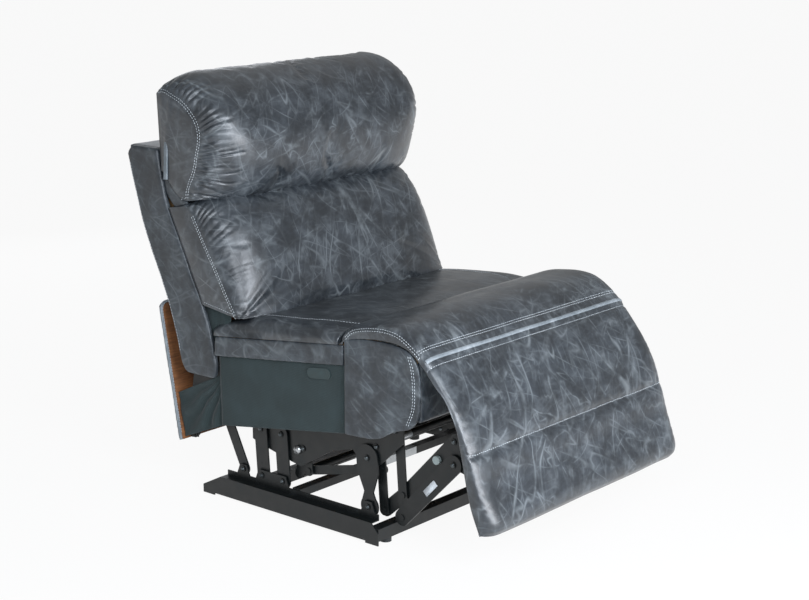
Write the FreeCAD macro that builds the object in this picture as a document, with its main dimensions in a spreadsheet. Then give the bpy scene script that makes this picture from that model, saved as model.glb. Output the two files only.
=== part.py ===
# Recliner armchair: a parametric FreeCAD document, in millimetres.
# +Z is up, the chair faces -Y and +X is the sitter's left. The origin is on the floor
# under the middle of the whole chair, in its resting pose.
# Side views are drawn in the plane (forward, up). Forward is measured from a datum line
# just behind the front ends of the base rails, and up from the floor.
# "Across" is measured from the middle plane; the sitter's right side is positive.
import math
import os

import FreeCAD
import Part
import Sketcher
from FreeCAD import Placement, Rotation, Vector

SIZES = [
    # whole chair
    ("chair_width", 780, "over the leather sides"),
    ("origin_back", 227.5, "from the datum line back to the origin"),
    # base
    ("rail_inset", 25, "from the seat's side face in to the base rail"),
    ("rail_front", 5, "front end of the base rails, ahead of the datum"),
    ("rail_overhang", 118, "rail behind the back link's pivot"),
    ("tail_run", 62, "length of the rail's sloping rear tip"),
    ("rail_bottom", 7, "height of the rail's lower edge"),
    ("rail_foot", 2, "height of the feet at the rail's two ends"),
    ("foot_length", 40, "length of those feet"),
    ("rail_height", 48, "height of the rail's web"),
    ("rail_sheet", 3, "sheet thickness of the base rail"),
    ("rail_ledge", 30, "width of the rail's top ledge"),
    ("upstand_height", 38, "ears of the inner flange, which carry the lift links"),
    ("upstand_low", 12, "inner flange between its ears"),
    ("ear_half", 22, "from a pivot to the side of its ear"),
    ("tail_height", 16, "height of the rail's rear tip"),
    ("nose_chamfer", 22, "slanted corner at the rail's front"),
    ("tube_side", 30, "square tube of the cross rails"),
    ("tube_wall", 1.5, "wall of the square tube"),
    ("tube_low", 12, "height of the cross rails' underside"),
    ("front_tube_at", -11, "middle of the front cross rail"),
    ("rear_tube_at", -458, "middle of the rear cross rail"),
    ("glide_radius", 14, "round floor glide"),
    ("glide_inset", 16, "from the rail in to the glide's middle"),
    ("motor_rail_at", -285, "middle of the motor cross rail"),
    ("motor_rail_low", 50, "underside of the motor cross rail"),
    ("motor_rail_width", 26, "motor cross rail, front to back"),
    ("motor_rail_height", 20, "motor cross rail, height"),
    ("zinc_half", 106, "half length of the zinc middle sections"),
    # sheet-metal layers of the mechanism
    ("sheet", 4, "thickness of a mechanism link"),
    ("layer_gap", 3, "gap between neighbouring layers"),
    ("pin_radius", 5, "pivot pins"),
    ("pin_slack", 0.3, "radial play of a link on its pin"),
    ("head_radius", 8, "pin heads"),
    ("head_thick", 2, "pin head thickness"),
    ("head_slack", 0.5, "end play under a pin head"),
    # lift links
    ("front_lift_at", -50, "front lift link, base pivot, forward"),
    ("middle_lift_at", -330, "middle lift link, base pivot, forward"),
    ("rear_lift_at", -400, "rear lift link, base pivot, forward"),
    ("lift_pivot_up", 79, "height of the base pivots"),
    ("lift_lean", -8, "how far a lift link's top lies ahead of its foot"),
    ("lift_rise", 118, "height of a lift link between pivots"),
    ("front_lift_width", 54, "front lift link, lower end"),
    ("front_lift_head", 66, "front lift link, upper end"),
    ("front_lift_waist", 28, "front lift link, waist"),
    ("lift_width", 42, "rear and middle lift links"),
    # ottoman linkage
    ("hinge_forward", 175, "virtual hinge of the footrest, forward"),
    ("hinge_up", 440, "virtual hinge of the footrest, height"),
    ("rocker_forward", 23, "front ottoman link, seat pivot, forward"),
    ("rocker_up", 278, "front ottoman link, seat pivot, height"),
    ("rocker_reach", 15, "front ottoman link, lower pivot ahead of the upper one"),
    ("rocker_drop", 210, "front ottoman link, drop between pivots"),
    ("cross_share", 0.75, "where the inner link crosses the front ottoman link"),
    ("crank_forward", -23, "rear ottoman link, lower pivot, forward"),
    ("crank_up", 70, "rear ottoman link, lower pivot, height"),
    ("ottoman_width", 26, "front and rear ottoman links"),
    ("outer_width", 46, "outer ottoman link, at the footrest"),
    ("outer_foot_width", 40, "outer ottoman link, at its lower pivot"),
    ("inner_width", 34, "inner ottoman link"),
    ("bumper_radius", 10, "plastic bumper on the inner ottoman link"),
    ("bumper_thick", 8, "plastic bumper, thickness"),
    ("bracket_flange", 25, "folded flange of a footrest bracket"),
    # footrest drive
    ("drive_forward", -270, "drive crank pivot, forward"),
    ("drive_up", 173, "drive crank pivot, height"),
    ("drive_arm", 60, "drive crank, pivot to link pin"),
    ("drive_tube_back", 28, "torque tube behind the crank pivot"),
    ("drive_tube_drop", 73, "torque tube below the crank pivot"),
    ("drive_tube_radius", 11, "torque tube"),
    ("drive_sleeve_radius", 13, "zinc sleeve on the torque tube"),
    ("drive_link_width", 22, "drive link"),
    # seat
    ("seat_rear", -486, "rear lower corner of the seat box"),
    ("seat_low", 200, "height of that corner"),
    ("seat_pitch", 8.9, "pitch of the box's lower edge, degrees"),
    ("cover_front", -77, "front edge of the cloth side cover"),
    ("band_low", 379, "leather band, lower edge at the rear"),
    ("band_height", 50, "leather band, height"),
    ("band_pitch", 6.9, "pitch of the leather band, degrees"),
    ("skin_depth", 11, "padded leather on the side boards, thickness"),
    ("cover_thick", 2, "cloth side cover, thickness"),
    ("board_thick", 20, "seat side board"),
    ("rail_board", 22, "front and rear seat boards"),
    ("box_front", 132, "front face of the seat box"),
    ("panel_top", 504, "top of the front side panel"),
    ("panel_front", 148, "front of the front side panel"),
    ("panel_round", 24, "rounded corners of the side panel"),
    ("front_panel_thick", 15, "leather front panel"),
    ("cushion_crown", 500, "top of the seat cushion"),
    ("soft_gap", 0.4, "clearance between soft parts"),
    ("pad_top", 540, "top of the chaise pad"),
    ("pad_rear", -95, "rear edge of the chaise pad"),
    ("plate_low", 164, "lower edge of the seat side plate, at its rear end"),
    ("flange_rise", 25, "folded flange of the side plate, above the seat box's lower edge"),
    ("flange_thick", 3, "folded flange of the side plate"),
    ("spring_radius", 2.2, "wire of the seat springs"),
    ("spring_count", 6, "seat springs"),
    ("socket_length", 74, "side inset, long side"),
    ("socket_height", 26, "side inset, short side"),
    # back
    ("back_hinge_forward", -600, "back hinge, forward"),
    ("back_hinge_up", 320, "back hinge, height"),
    ("shell_thick", 12, "padded wall of the back shell"),
    ("wing_round", 42, "rounded lower end of the wings"),
    ("frame_setback", 14, "back frame behind the front edge of the wings"),
    ("frame_depth", 48, "back frame, front to rear"),
    ("back_link_low_forward", -465, "back link, base pivot, forward"),
    ("back_link_low_up", 82, "back link, base pivot, height"),
    ("back_link_top_forward", -576, "back link, upper pivot, forward"),
    ("back_link_top_up", 310, "back link, upper pivot, height"),
    ("back_link_width", 30, "back link"),
    ("back_link_play", 1.3, "extra play at the back link's open pivot"),
    ("bracket_thick", 4, "back hinge brackets"),
    ("back_board", 24, "uprights and rails of the back frame"),
    ("arm_spread", 147, "headrest arms, from the middle"),
    ("arm_thick", 6, "headrest arms, thickness"),
    ("arm_slack", 1.5, "side play of an arm in the cushion's slot"),
    ("arm_hub", 12, "headrest arms, radius at the hinge"),
    ("head_pin_length", 44, "headrest hinge pins"),
    ("skirt_thick", 12, "rear skirt board"),
    ("skirt_cover", 3, "leather on the rear skirt"),
    ("skirt_hinge_forward", -622, "skirt hinge, forward"),
    ("skirt_hinge_up", 146, "skirt hinge, height"),
    ("skirt_lean", 10.2, "lean of the skirt, degrees"),
    ("skirt_length", 352, "skirt, bottom to top"),
    # headrest
    ("head_hinge_forward", -628, "headrest hinge, forward"),
    ("head_hinge_up", 778, "headrest hinge, height"),
    ("head_rise", 281, "top of the headrest above its hinge"),
    ("head_round", 42, "rounding of the headrest about its hinge"),
    ("head_side", 4, "headrest in from the back's side face"),
]

doc = FreeCAD.newDocument("recliner_armchair")
sheet = doc.addObject("Spreadsheet::Sheet", "Sizes")
for row, (alias, number, note) in enumerate(SIZES, start=1):
    sheet.set(f"A{row}", note)
    sheet.set(f"B{row}", str(number))
    sheet.setAlias(f"B{row}", alias)
doc.recompute()


class Size:
    # A number from the sheet together with the expression that gives it, so that one
    # formula both places the geometry and binds it to the cells.
    def __init__(self, value, text):
        self.value = float(value)
        self.text = text

    def __float__(self):
        return self.value

    def __neg__(self):
        return Size(-self.value, f"(-{self.text})")

    def __add__(self, other):
        other = as_size(other)
        return Size(self.value + other.value, f"({self.text} + {other.text})")

    def __sub__(self, other):
        other = as_size(other)
        return Size(self.value - other.value, f"({self.text} - {other.text})")

    def __mul__(self, other):
        other = as_size(other)
        return Size(self.value * other.value, f"({self.text} * {other.text})")

    def __truediv__(self, other):
        other = as_size(other)
        return Size(self.value / other.value, f"({self.text} / {other.text})")

    def __radd__(self, other):
        return as_size(other) + self

    def __rsub__(self, other):
        return as_size(other) - self

    def __rmul__(self, other):
        return as_size(other) * self


def as_size(number):
    if isinstance(number, Size):
        return number
    return Size(number, f"({float(number)!r})")


def tan_of(angle):
    return Size(math.tan(math.radians(angle.value)), f"tan({angle.text})")


class Names:
    # Gives each cell of the sheet as a Size: v.chair_width and so on.
    def __getattr__(self, alias):
        return Size(sheet.get(alias), f"Sizes.{alias}")


v = Names()
nodes = []
SIDES = (("right", 1), ("left", -1))

# ---- places that several pieces share ----

half_width = v.chair_width / 2
rail_outer = half_width - v.rail_inset
upstand_outer = rail_outer - v.rail_ledge + v.rail_sheet
upstand_inner = rail_outer - v.rail_ledge
layer_step = v.sheet + v.layer_gap
lift_layer = upstand_inner - layer_step
plate_layer = lift_layer - layer_step
outer_layer = plate_layer - layer_step
rocker_layer = outer_layer - layer_step
inner_layer = rocker_layer - layer_step
board_outer = half_width - v.skin_depth
board_inner = board_outer - v.board_thick

front_lift_foot = (v.front_lift_at, v.lift_pivot_up)
middle_lift_foot = (v.middle_lift_at, v.lift_pivot_up)
rear_lift_foot = (v.rear_lift_at, v.lift_pivot_up)


def lift_top(foot):
    return (foot[0] + v.lift_lean, foot[1] + v.lift_rise)


rocker_top = (v.rocker_forward, v.rocker_up)
rocker_foot = (v.rocker_forward + v.rocker_reach, v.rocker_up - v.rocker_drop)
cross_pin = (
    v.rocker_forward + v.rocker_reach * v.cross_share,
    v.rocker_up - v.rocker_drop * v.cross_share,
)
crank_foot = (v.crank_forward, v.crank_up)
crank_top = (
    v.crank_forward - v.rocker_reach * v.cross_share,
    v.crank_up + v.rocker_drop * v.cross_share,
)
outer_end = (v.hinge_forward + v.rocker_reach, v.hinge_up - v.rocker_drop)
inner_end = (
    v.hinge_forward + v.rocker_reach * v.cross_share,
    v.hinge_up - v.rocker_drop * v.cross_share,
)
drive_pivot = (v.drive_forward, v.drive_up)
crank_length = Size(math.hypot(v.rocker_reach.value, v.rocker_drop.value),
                    f"sqrt({v.rocker_reach.text}^2 + {v.rocker_drop.text}^2)")
drive_share = v.drive_arm / crank_length
drive_pin = (
    v.drive_forward + v.rocker_reach * drive_share,
    v.drive_up - v.rocker_drop * drive_share,
)
crank_pin = (
    crank_top[0] + v.rocker_reach * drive_share,
    crank_top[1] - v.rocker_drop * drive_share,
)
torque_tube = (v.drive_forward - v.drive_tube_back, v.drive_up - v.drive_tube_drop)
back_hinge = (v.back_hinge_forward, v.back_hinge_up)
back_link_low = (v.back_link_low_forward, v.back_link_low_up)
back_link_top = (v.back_link_top_forward, v.back_link_top_up)
skirt_hinge = (v.skirt_hinge_forward, v.skirt_hinge_up)
head_hinge = (v.head_hinge_forward, v.head_hinge_up)


def box_bottom(forward):
    return v.seat_low + tan_of(v.seat_pitch) * (forward - v.seat_rear)


def band_bottom(forward):
    return v.band_low + tan_of(v.band_pitch) * (forward - v.seat_rear)


def band_top(forward):
    return band_bottom(forward) + v.band_height


# ---- helpers ----

SIDE_VIEW = Rotation(Vector(0, -1, 0), Vector(0, 0, 1), Vector(-1, 0, 0), "ZXY")


def keep(item, label):
    item.Label = label
    nodes.append(item)
    return item


def place(item, across):
    across = as_size(across)
    item.Placement = Placement(Vector(-across.value, -v.origin_back.value, 0), SIDE_VIEW)
    item.setExpression("Placement.Base.x", f"-({across.text})")
    item.setExpression("Placement.Base.y", f"-{v.origin_back.text}")


def start_of(sign, inner, thick):
    # Across position where a pad of this thickness starts, for one side or the other.
    if sign > 0:
        return as_size(inner)
    return -(as_size(inner) + thick)


def bind_point(sketch, geometry, end, corner):
    # Ties one point of a sketch to its place, measured from the sketch's origin.
    for kind, size in (("DistanceX", corner[0]), ("DistanceY", corner[1])):
        size = as_size(size)
        rule = Sketcher.Constraint(kind, -1, 1, geometry, end, size.value)
        index = sketch.addConstraint(rule)
        sketch.setExpression(f"Constraints[{index}]", size.text)


def add_polygon(sketch, corners):
    count = len(corners)
    first = sketch.GeometryCount
    for i in range(count):
        a = corners[i]
        b = corners[(i + 1) % count]
        line = Part.LineSegment(Vector(float(a[0]), float(a[1]), 0), Vector(float(b[0]), float(b[1]), 0))
        sketch.addGeometry(line)
    for i in range(count):
        sketch.addConstraint(Sketcher.Constraint("Coincident", first + i, 2, first + (i + 1) % count, 1))
    for i in range(count):
        bind_point(sketch, first + i, 1, corners[i])


def add_circle(sketch, centre, radius):
    radius = as_size(radius)
    middle = Vector(float(centre[0]), float(centre[1]), 0)
    index = sketch.addGeometry(Part.Circle(middle, Vector(0, 0, 1), radius.value))
    bind_point(sketch, index, 3, centre)
    rule = sketch.addConstraint(Sketcher.Constraint("Radius", index, radius.value))
    sketch.setExpression(f"Constraints[{rule}]", radius.text)


def new_sketch(body, offset=0):
    plane = [f for f in body.Origin.OriginFeatures if f.Role == "XY_Plane"][0]
    sketch = body.newObject("Sketcher::SketchObject", body.Name + "_sketch")
    sketch.AttachmentSupport = [(plane, "")]
    sketch.MapMode = "FlatFace"
    offset = as_size(offset)
    sketch.AttachmentOffset = Placement(Vector(0, 0, offset.value), Rotation())
    sketch.setExpression("AttachmentOffset.Base.z", offset.text)
    return sketch


def add_pad(body, length, corners=(), circles=(), offset=0):
    # Pads a polygon with round holes, or round discs alone, towards local +Z.
    sketch = new_sketch(body, offset)
    if corners:
        add_polygon(sketch, corners)
    for centre, radius in circles:
        add_circle(sketch, centre, radius)
    pad = body.newObject("PartDesign::Pad", body.Name + "_pad")
    pad.Profile = sketch
    length = as_size(length)
    pad.Length = length.value
    pad.setExpression("Length", length.text)
    doc.recompute()
    return pad


def round_edges(body, radius, corners):
    # Fillets the edges that run across the chair at the given side-view corners.
    tip = body.Tip
    names = []
    for number, edge in enumerate(tip.Shape.Edges, start=1):
        if len(edge.Vertexes) != 2:
            continue
        a = edge.Vertexes[0].Point
        b = edge.Vertexes[1].Point
        if abs(a.x - b.x) > 0.01 or abs(a.y - b.y) > 0.01:
            continue
        if any(abs(a.x - float(c[0])) < 0.05 and abs(a.y - float(c[1])) < 0.05 for c in corners):
            names.append(f"Edge{number}")
    fillet = body.newObject("PartDesign::Fillet", body.Name + "_fillet")
    fillet.Base = (tip, names)
    radius = as_size(radius)
    fillet.Radius = radius.value
    fillet.setExpression("Radius", radius.text)
    doc.recompute()
    return fillet


def new_body(label, across, register=True):
    body = doc.addObject("PartDesign::Body", label)
    place(body, across)
    if register:
        keep(body, label)
    else:
        body.Label = label + "_piece"
    return body


def plate(label, corners, inner, thick, sign=1, holes=(), rounds=(), register=True):
    # A flat piece that stands in the side plane, with round holes and rounded corners.
    body = new_body(label, start_of(sign, inner, thick), register)
    add_pad(body, thick, corners, holes)
    for radius, picked in rounds:
        round_edges(body, radius, picked)
    return body


def group(label, pieces):
    # Several separate solids that share one node.
    item = doc.addObject("Part::Compound", label)
    item.Links = pieces
    return keep(item, label)


def disc(name, centre, radius, inner, length, sign=1, facets=0):
    # A round piece whose axis runs across the chair, or a prism when facets are given.
    kind, field = ("Part::Prism", "Circumradius") if facets else ("Part::Cylinder", "Radius")
    piece = doc.addObject(kind, name)
    radius = as_size(radius)
    length = as_size(length)
    if facets:
        piece.Polygon = facets
    setattr(piece, field, radius.value)
    piece.Height = length.value
    piece.setExpression(field, radius.text)
    piece.setExpression("Height", length.text)
    across = start_of(sign, inner, length)
    piece.Placement = Placement(
        Vector(-across.value, -v.origin_back.value - float(centre[0]), float(centre[1])), SIDE_VIEW
    )
    piece.setExpression("Placement.Base.x", f"-({across.text})")
    piece.setExpression("Placement.Base.y", f"-{v.origin_back.text} - {as_size(centre[0]).text}")
    piece.setExpression("Placement.Base.z", as_size(centre[1]).text)
    return piece


def pin(name, centre, low, high, sign):
    # A pivot pin with a head beyond each of the two layers that it joins. The many pins are
    # twelve-sided, which keeps them light.
    low_face = low - v.head_slack - v.head_thick
    high_face = high + v.head_slack
    sides = 12
    shaft = disc(name + "_shaft", centre, v.pin_radius, low_face, high_face - low_face, sign, sides)
    near = disc(name + "_head_a", centre, v.head_radius, low_face, v.head_thick, sign, sides)
    far = disc(name + "_head_b", centre, v.head_radius, high_face, v.head_thick, sign, sides)
    joined = doc.addObject("Part::MultiFuse", name)
    joined.Shapes = [shaft, near, far]
    return joined


def unit(start, end):
    run = Vector(float(end[0]) - float(start[0]), float(end[1]) - float(start[1]), 0)
    return run.normalize()


def between(start, end, share):
    # The point that lies this share of the way from one point to another.
    return (start[0] + (end[0] - start[0]) * share, start[1] + (end[1] - start[1]) * share)


def shift(point, ahead, rise):
    return (point[0] + ahead, point[1] + rise)


def add_bar(body, start, end, width, thick, offset=0, end_width=None):
    # A straight bar between two points, square at its ends, tapered when its ends differ.
    aim = unit(start, end)
    half = as_size(width) / 2
    far = half if end_width is None else end_width / 2
    corners = [
        (start[0] + half * aim.y, start[1] - half * aim.x),
        (end[0] + far * aim.y, end[1] - far * aim.x),
        (end[0] - far * aim.y, end[1] + far * aim.x),
        (start[0] - half * aim.y, start[1] + half * aim.x),
    ]
    add_pad(body, thick, corners, offset=offset)


def add_holes(body, circles, thick, offset=0):
    # Round holes through a plate, drilled from its outer face.
    sketch = new_sketch(body, as_size(offset) + thick)
    for centre, radius in circles:
        add_circle(sketch, centre, radius)
    pocket = body.newObject("PartDesign::Pocket", body.Name + "_holes")
    pocket.Profile = sketch
    thick = as_size(thick)
    pocket.Length = thick.value
    pocket.setExpression("Length", thick.text)
    doc.recompute()


def link(label, points, width, inner, sign, holes, register=True):
    # A flat link with round ends, straight or bent, with a hole at each pivot.
    body = new_body(label, start_of(sign, inner, v.sheet), register)
    for start, end in zip(points, points[1:]):
        add_bar(body, start, end, width, v.sheet)
    for point in points:
        add_pad(body, v.sheet, circles=[(point, width / 2)])
    add_holes(body, holes, v.sheet)
    return body


def cross_bar(label, corners, half, holes=(), register=True):
    # A board or rail that runs across the chair, symmetric about its middle.
    body = new_body(label, -as_size(half), register)
    add_pad(body, as_size(half) * 2, corners, holes)
    return body


def cross_rod(label, centre, radius, half):
    # A round tube or rod that runs across the chair.
    return keep(disc(label, centre, radius, -as_size(half), as_size(half) * 2), label)


def pillow(label, side, middle, half, lifts=(0, 0.76, 0.98, 1, 0.98, 0.76, 0), edge=24, bores=()):
    # A soft part: side outlines lofted across the chair into a crowned middle.
    half = float(half)
    stations = [-half, -half + edge, -half + edge * 3, 0, half - edge * 3, half - edge, half]
    wires = []
    for across, lift in zip(stations, lifts):
        points = []
        for a, b in zip(side, middle):
            forward = float(a[0]) + (float(b[0]) - float(a[0])) * lift
            up = float(a[1]) + (float(b[1]) - float(a[1])) * lift
            points.append(Vector(forward, up, across))
        points.append(points[0])
        wires.append(Part.makePolygon(points))
    shape = Part.makeLoft(wires, True, True)
    for bore in bores:
        shape = shape.cut(bore)
    item = doc.addObject("Part::Feature", label)
    item.Shape = shape
    place(item, 0)
    return keep(item, label)


loose = v.pin_radius + v.pin_slack
tight = v.pin_radius


# ---- base: two folded rails, cross tubes and glides ----

def base_rail(name, sign):
    body = new_body(f"base_rail_{name}", 0)
    rear = v.back_link_low_forward - v.rail_overhang
    tail = rear + v.tail_run
    low = v.rail_bottom
    top = low + v.rail_height
    nose = v.rail_front - v.nose_chamfer
    tip = low + v.tail_height
    web = [
        (rear, v.rail_foot), (rear + v.foot_length, v.rail_foot), (rear + v.foot_length, low),
        (v.rail_front - v.foot_length, low), (v.rail_front - v.foot_length, v.rail_foot),
        (v.rail_front, v.rail_foot), (v.rail_front, top - v.nose_chamfer), (nose, top), (tail, top), (rear, tip),
    ]
    add_pad(body, v.rail_sheet, web, offset=start_of(sign, rail_outer - v.rail_sheet, v.rail_sheet))
    ledge_width = v.rail_ledge - v.rail_sheet
    ledge_start = start_of(sign, upstand_inner, ledge_width)
    ledge = [(tail, top - v.rail_sheet), (nose, top - v.rail_sheet), (nose, top), (tail, top)]
    add_pad(body, ledge_width, ledge, offset=ledge_start)
    slope = [(rear, tip - v.rail_sheet), (tail, top - v.rail_sheet), (tail, top), (rear, tip)]
    add_pad(body, ledge_width, slope, offset=ledge_start)
    high = top + v.upstand_height
    shoulder = top + v.upstand_low
    half = v.ear_half
    upstand = [(tail, top - v.rail_sheet), (nose, top - v.rail_sheet), (nose, shoulder)]
    ears = (front_lift_foot[0], front_lift_foot[0]), (rear_lift_foot[0], middle_lift_foot[0])
    for back, ahead in ears + ((back_link_low[0], back_link_low[0]),):
        upstand += [
            (ahead + half, shoulder), (ahead + half / 2, high), (back - half / 2, high), (back - half, shoulder),
        ]
    upstand.append((tail, shoulder))
    holes = [(p, tight) for p in (front_lift_foot, middle_lift_foot, rear_lift_foot, back_link_low)]
    add_pad(body, v.rail_sheet, upstand, holes, start_of(sign, upstand_inner, v.rail_sheet))


def square_tube(label, middle, half):
    body = new_body(label, -as_size(half))
    side = v.tube_side / 2
    low = v.tube_low
    outer = [
        (middle - side, low), (middle + side, low),
        (middle + side, low + v.tube_side), (middle - side, low + v.tube_side),
    ]
    sketch = new_sketch(body)
    add_polygon(sketch, outer)
    inner = [
        (middle - side + v.tube_wall, low + v.tube_wall), (middle + side - v.tube_wall, low + v.tube_wall),
        (middle + side - v.tube_wall, low + v.tube_side - v.tube_wall),
        (middle - side + v.tube_wall, low + v.tube_side - v.tube_wall),
    ]
    add_polygon(sketch, inner)
    pad = body.newObject("PartDesign::Pad", body.Name + "_pad")
    pad.Profile = sketch
    length = as_size(half) * 2
    pad.Length = length.value
    pad.setExpression("Length", length.text)
    doc.recompute()


def motor_cross_rail():
    rear = v.motor_rail_at - v.motor_rail_width / 2
    front = v.motor_rail_at + v.motor_rail_width / 2
    low = v.motor_rail_low
    high = low + v.motor_rail_height
    corners = [(rear, low), (front, low), (front, high), (rear, high)]
    arms = []
    for name, sign in SIDES:
        length = upstand_inner - v.zinc_half
        body = new_body(f"motor_rail_arm_{name}", start_of(sign, v.zinc_half, length), False)
        add_pad(body, length, corners)
        arms.append(body)
    group("motor_cross_rail", arms)
    cross_bar("motor_rail_bracket", corners, v.zinc_half)


def base_glides():
    pieces = []
    for name, sign in SIDES:
        for place_name, forward in (("front", v.front_tube_at), ("rear", v.rear_tube_at)):
            inner = upstand_inner - v.glide_inset
            glide = doc.addObject("Part::Cylinder", f"glide_{place_name}_{name}")
            glide.Radius = v.glide_radius.value
            glide.Height = v.tube_low.value
            glide.setExpression("Radius", v.glide_radius.text)
            glide.setExpression("Height", v.tube_low.text)
            glide.Placement.Base = Vector(-sign * inner.value, -v.origin_back.value - forward.value, 0)
            pieces.append(glide)
    group("base_glides", pieces)


def base_pins():
    pieces = []
    spots = (front_lift_foot, middle_lift_foot, rear_lift_foot, back_link_low)
    for name, sign in SIDES:
        for number, spot in enumerate(spots):
            pieces.append(pin(f"base_pin_{name}_{number}", spot, lift_layer, upstand_outer, sign))
    group("base_pins", pieces)


# ---- lift links between the base and the seat ----

def front_lift_links():
    pieces = []
    foot = front_lift_foot
    top = lift_top(foot)
    half = v.front_lift_width / 2
    head = v.front_lift_head / 2
    waist = v.front_lift_waist / 2
    narrow = between(foot, top, 0.3)
    wide = between(foot, top, 0.72)
    outline = [
        shift(foot, -half, 0), shift(foot, half, 0), shift(narrow, waist, 0), shift(wide, head, 0),
        shift(top, head, 0), shift(top, -head, 0), shift(wide, -head, 0), shift(narrow, -waist, 0),
    ]
    for name, sign in SIDES:
        body = new_body(f"front_lift_{name}", start_of(sign, lift_layer, v.sheet), False)
        add_pad(body, v.sheet, outline)
        for centre, radius in ((foot, half), (top, head)):
            add_pad(body, v.sheet, circles=[(centre, radius)])
        add_holes(body, [(foot, loose), (top, loose)], v.sheet)
        pieces.append(body)
    group("front_lift_links", pieces)


def straight_lift_links(label, foot):
    pieces = []
    top = lift_top(foot)
    for name, sign in SIDES:
        holes = [(foot, loose), (top, loose)]
        body = link(f"{label}_{name}", [foot, top], v.lift_width, lift_layer, sign, holes, False)
        pieces.append(body)
    group(label, pieces)


# ---- ottoman linkage ----

def ottoman_links(name, sign):
    front = link(f"front_ottoman_plate_{name}", [rocker_top, cross_pin, rocker_foot], v.ottoman_width,
                 rocker_layer, sign, [(rocker_top, loose), (cross_pin, tight), (rocker_foot, tight)], False)
    front_pins = [
        pin(f"cross_pin_{name}", cross_pin, inner_layer, rocker_layer + v.sheet, sign),
        pin(f"rocker_foot_pin_{name}", rocker_foot, rocker_layer, outer_layer + v.sheet, sign),
    ]
    group(f"front_ottoman_link_{name}", [front] + front_pins)
    holes = [(crank_top, loose), (crank_pin, tight), (crank_foot, tight)]
    rear = link(f"rear_ottoman_plate_{name}", [crank_top, crank_foot], v.ottoman_width,
                rocker_layer, sign, holes, False)
    rear_pins = [
        pin(f"crank_foot_pin_{name}", crank_foot, inner_layer, rocker_layer + v.sheet, sign),
        pin(f"crank_drive_pin_{name}", crank_pin, inner_layer, rocker_layer + v.sheet, sign),
    ]
    group(f"rear_ottoman_link_{name}", [rear] + rear_pins)
    outer = new_body(f"outer_ottoman_link_{name}", start_of(sign, outer_layer, v.sheet))
    add_bar(outer, rocker_foot, outer_end, v.outer_foot_width, v.sheet, end_width=v.outer_width)
    for end, width in ((rocker_foot, v.outer_foot_width), (outer_end, v.outer_width)):
        add_pad(outer, v.sheet, circles=[(end, width / 2)])
    add_holes(outer, [(rocker_foot, loose), (outer_end, loose)], v.sheet)
    holes = [(crank_foot, loose), (cross_pin, loose), (inner_end, loose)]
    inner = link(f"inner_ottoman_plate_{name}", [crank_foot, cross_pin, inner_end], v.inner_width,
                 inner_layer, sign, holes, False)
    spot = between(cross_pin, inner_end, 0.66)
    bumper = disc(f"ottoman_bumper_{name}", spot, v.bumper_radius, inner_layer + v.sheet, v.bumper_thick, sign)
    keep_bumpers.append(bumper)
    inner.Label = f"inner_ottoman_link_{name}"
    nodes.append(inner)


# ---- footrest drive ----

def drive_crank():
    pieces = []
    for name, sign in SIDES:
        body = new_body(f"drive_crank_plate_{name}", start_of(sign, rocker_layer, v.sheet), False)
        for end in (drive_pin, torque_tube):
            add_bar(body, drive_pivot, end, v.ottoman_width, v.sheet)
            add_pad(body, v.sheet, circles=[(end, v.ottoman_width / 2)])
        add_pad(body, v.sheet, circles=[(drive_pivot, v.ottoman_width / 2)])
        add_holes(body, [(drive_pivot, loose), (drive_pin, tight)], v.sheet)
        pieces.append(body)
        length = rocker_layer - v.zinc_half
        tube = disc(f"torque_tube_{name}", torque_tube, v.drive_tube_radius, v.zinc_half, length, sign)
        pieces.append(tube)
        pieces.append(pin(f"drive_link_pin_{name}", drive_pin, inner_layer, rocker_layer + v.sheet, sign))
    group("drive_crank", pieces)
    cross_rod("drive_sleeve", torque_tube, v.drive_sleeve_radius, v.zinc_half)


def drive_links():
    pieces = []
    for name, sign in SIDES:
        holes = [(drive_pin, loose), (crank_pin, loose)]
        pieces.append(link(f"drive_link_{name}", [drive_pin, crank_pin], v.drive_link_width,
                           inner_layer, sign, holes, False))
    group("drive_links", pieces)


# ---- seat ----

def seat_side_plate(name, sign):
    body = new_body(f"seat_side_plate_{name}", 0)
    start = start_of(sign, plate_layer, v.sheet)
    rear = v.rear_lift_at - v.lift_width
    front = rocker_top[0] + v.ottoman_width
    top_rise = v.flange_rise + v.flange_thick
    low = v.plate_low
    pivot = lift_top(front_lift_foot)
    outline = [
        (rear, low), (rear + 20, low - 8), (v.drive_forward - 40, low - 32), (v.drive_forward - 8, low - 38),
        (v.drive_forward + 98, low + 25), (pivot[0] - 50, low + 42), (pivot[0] - 22, pivot[1] - 20),
        (pivot[0] + 24, pivot[1] - 20), (pivot[0] + 40, pivot[1] - 8), (front, v.rocker_up - v.ottoman_width),
        (front, box_bottom(front) + top_rise), (rear, box_bottom(rear) + top_rise),
    ]
    tops = [lift_top(f) for f in (front_lift_foot, middle_lift_foot, rear_lift_foot)]
    holes = [(p, tight) for p in tops + [rocker_top, crank_top, drive_pivot]]
    add_pad(body, v.sheet, outline, holes, start)
    reach = board_inner - plate_layer - v.sheet
    behind = rear + v.lift_width / 3
    flange_start = start_of(sign, plate_layer + v.sheet, reach)
    flange = [
        (behind, box_bottom(behind) + v.flange_rise), (front, box_bottom(front) + v.flange_rise),
        (front, box_bottom(front) + top_rise), (behind, box_bottom(behind) + top_rise),
    ]
    add_pad(body, reach, flange, offset=flange_start)


def seat_pins():
    pieces = []
    for name, sign in SIDES:
        for number, foot in enumerate((front_lift_foot, middle_lift_foot, rear_lift_foot)):
            pieces.append(pin(f"seat_pin_{name}_{number}", lift_top(foot), plate_layer,
                              lift_layer + v.sheet, sign))
        for number, spot in enumerate((rocker_top, crank_top, drive_pivot)):
            pieces.append(pin(f"rocker_pin_{name}_{number}", spot, rocker_layer,
                              plate_layer + v.sheet, sign))
    group("seat_pins", pieces)


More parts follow.
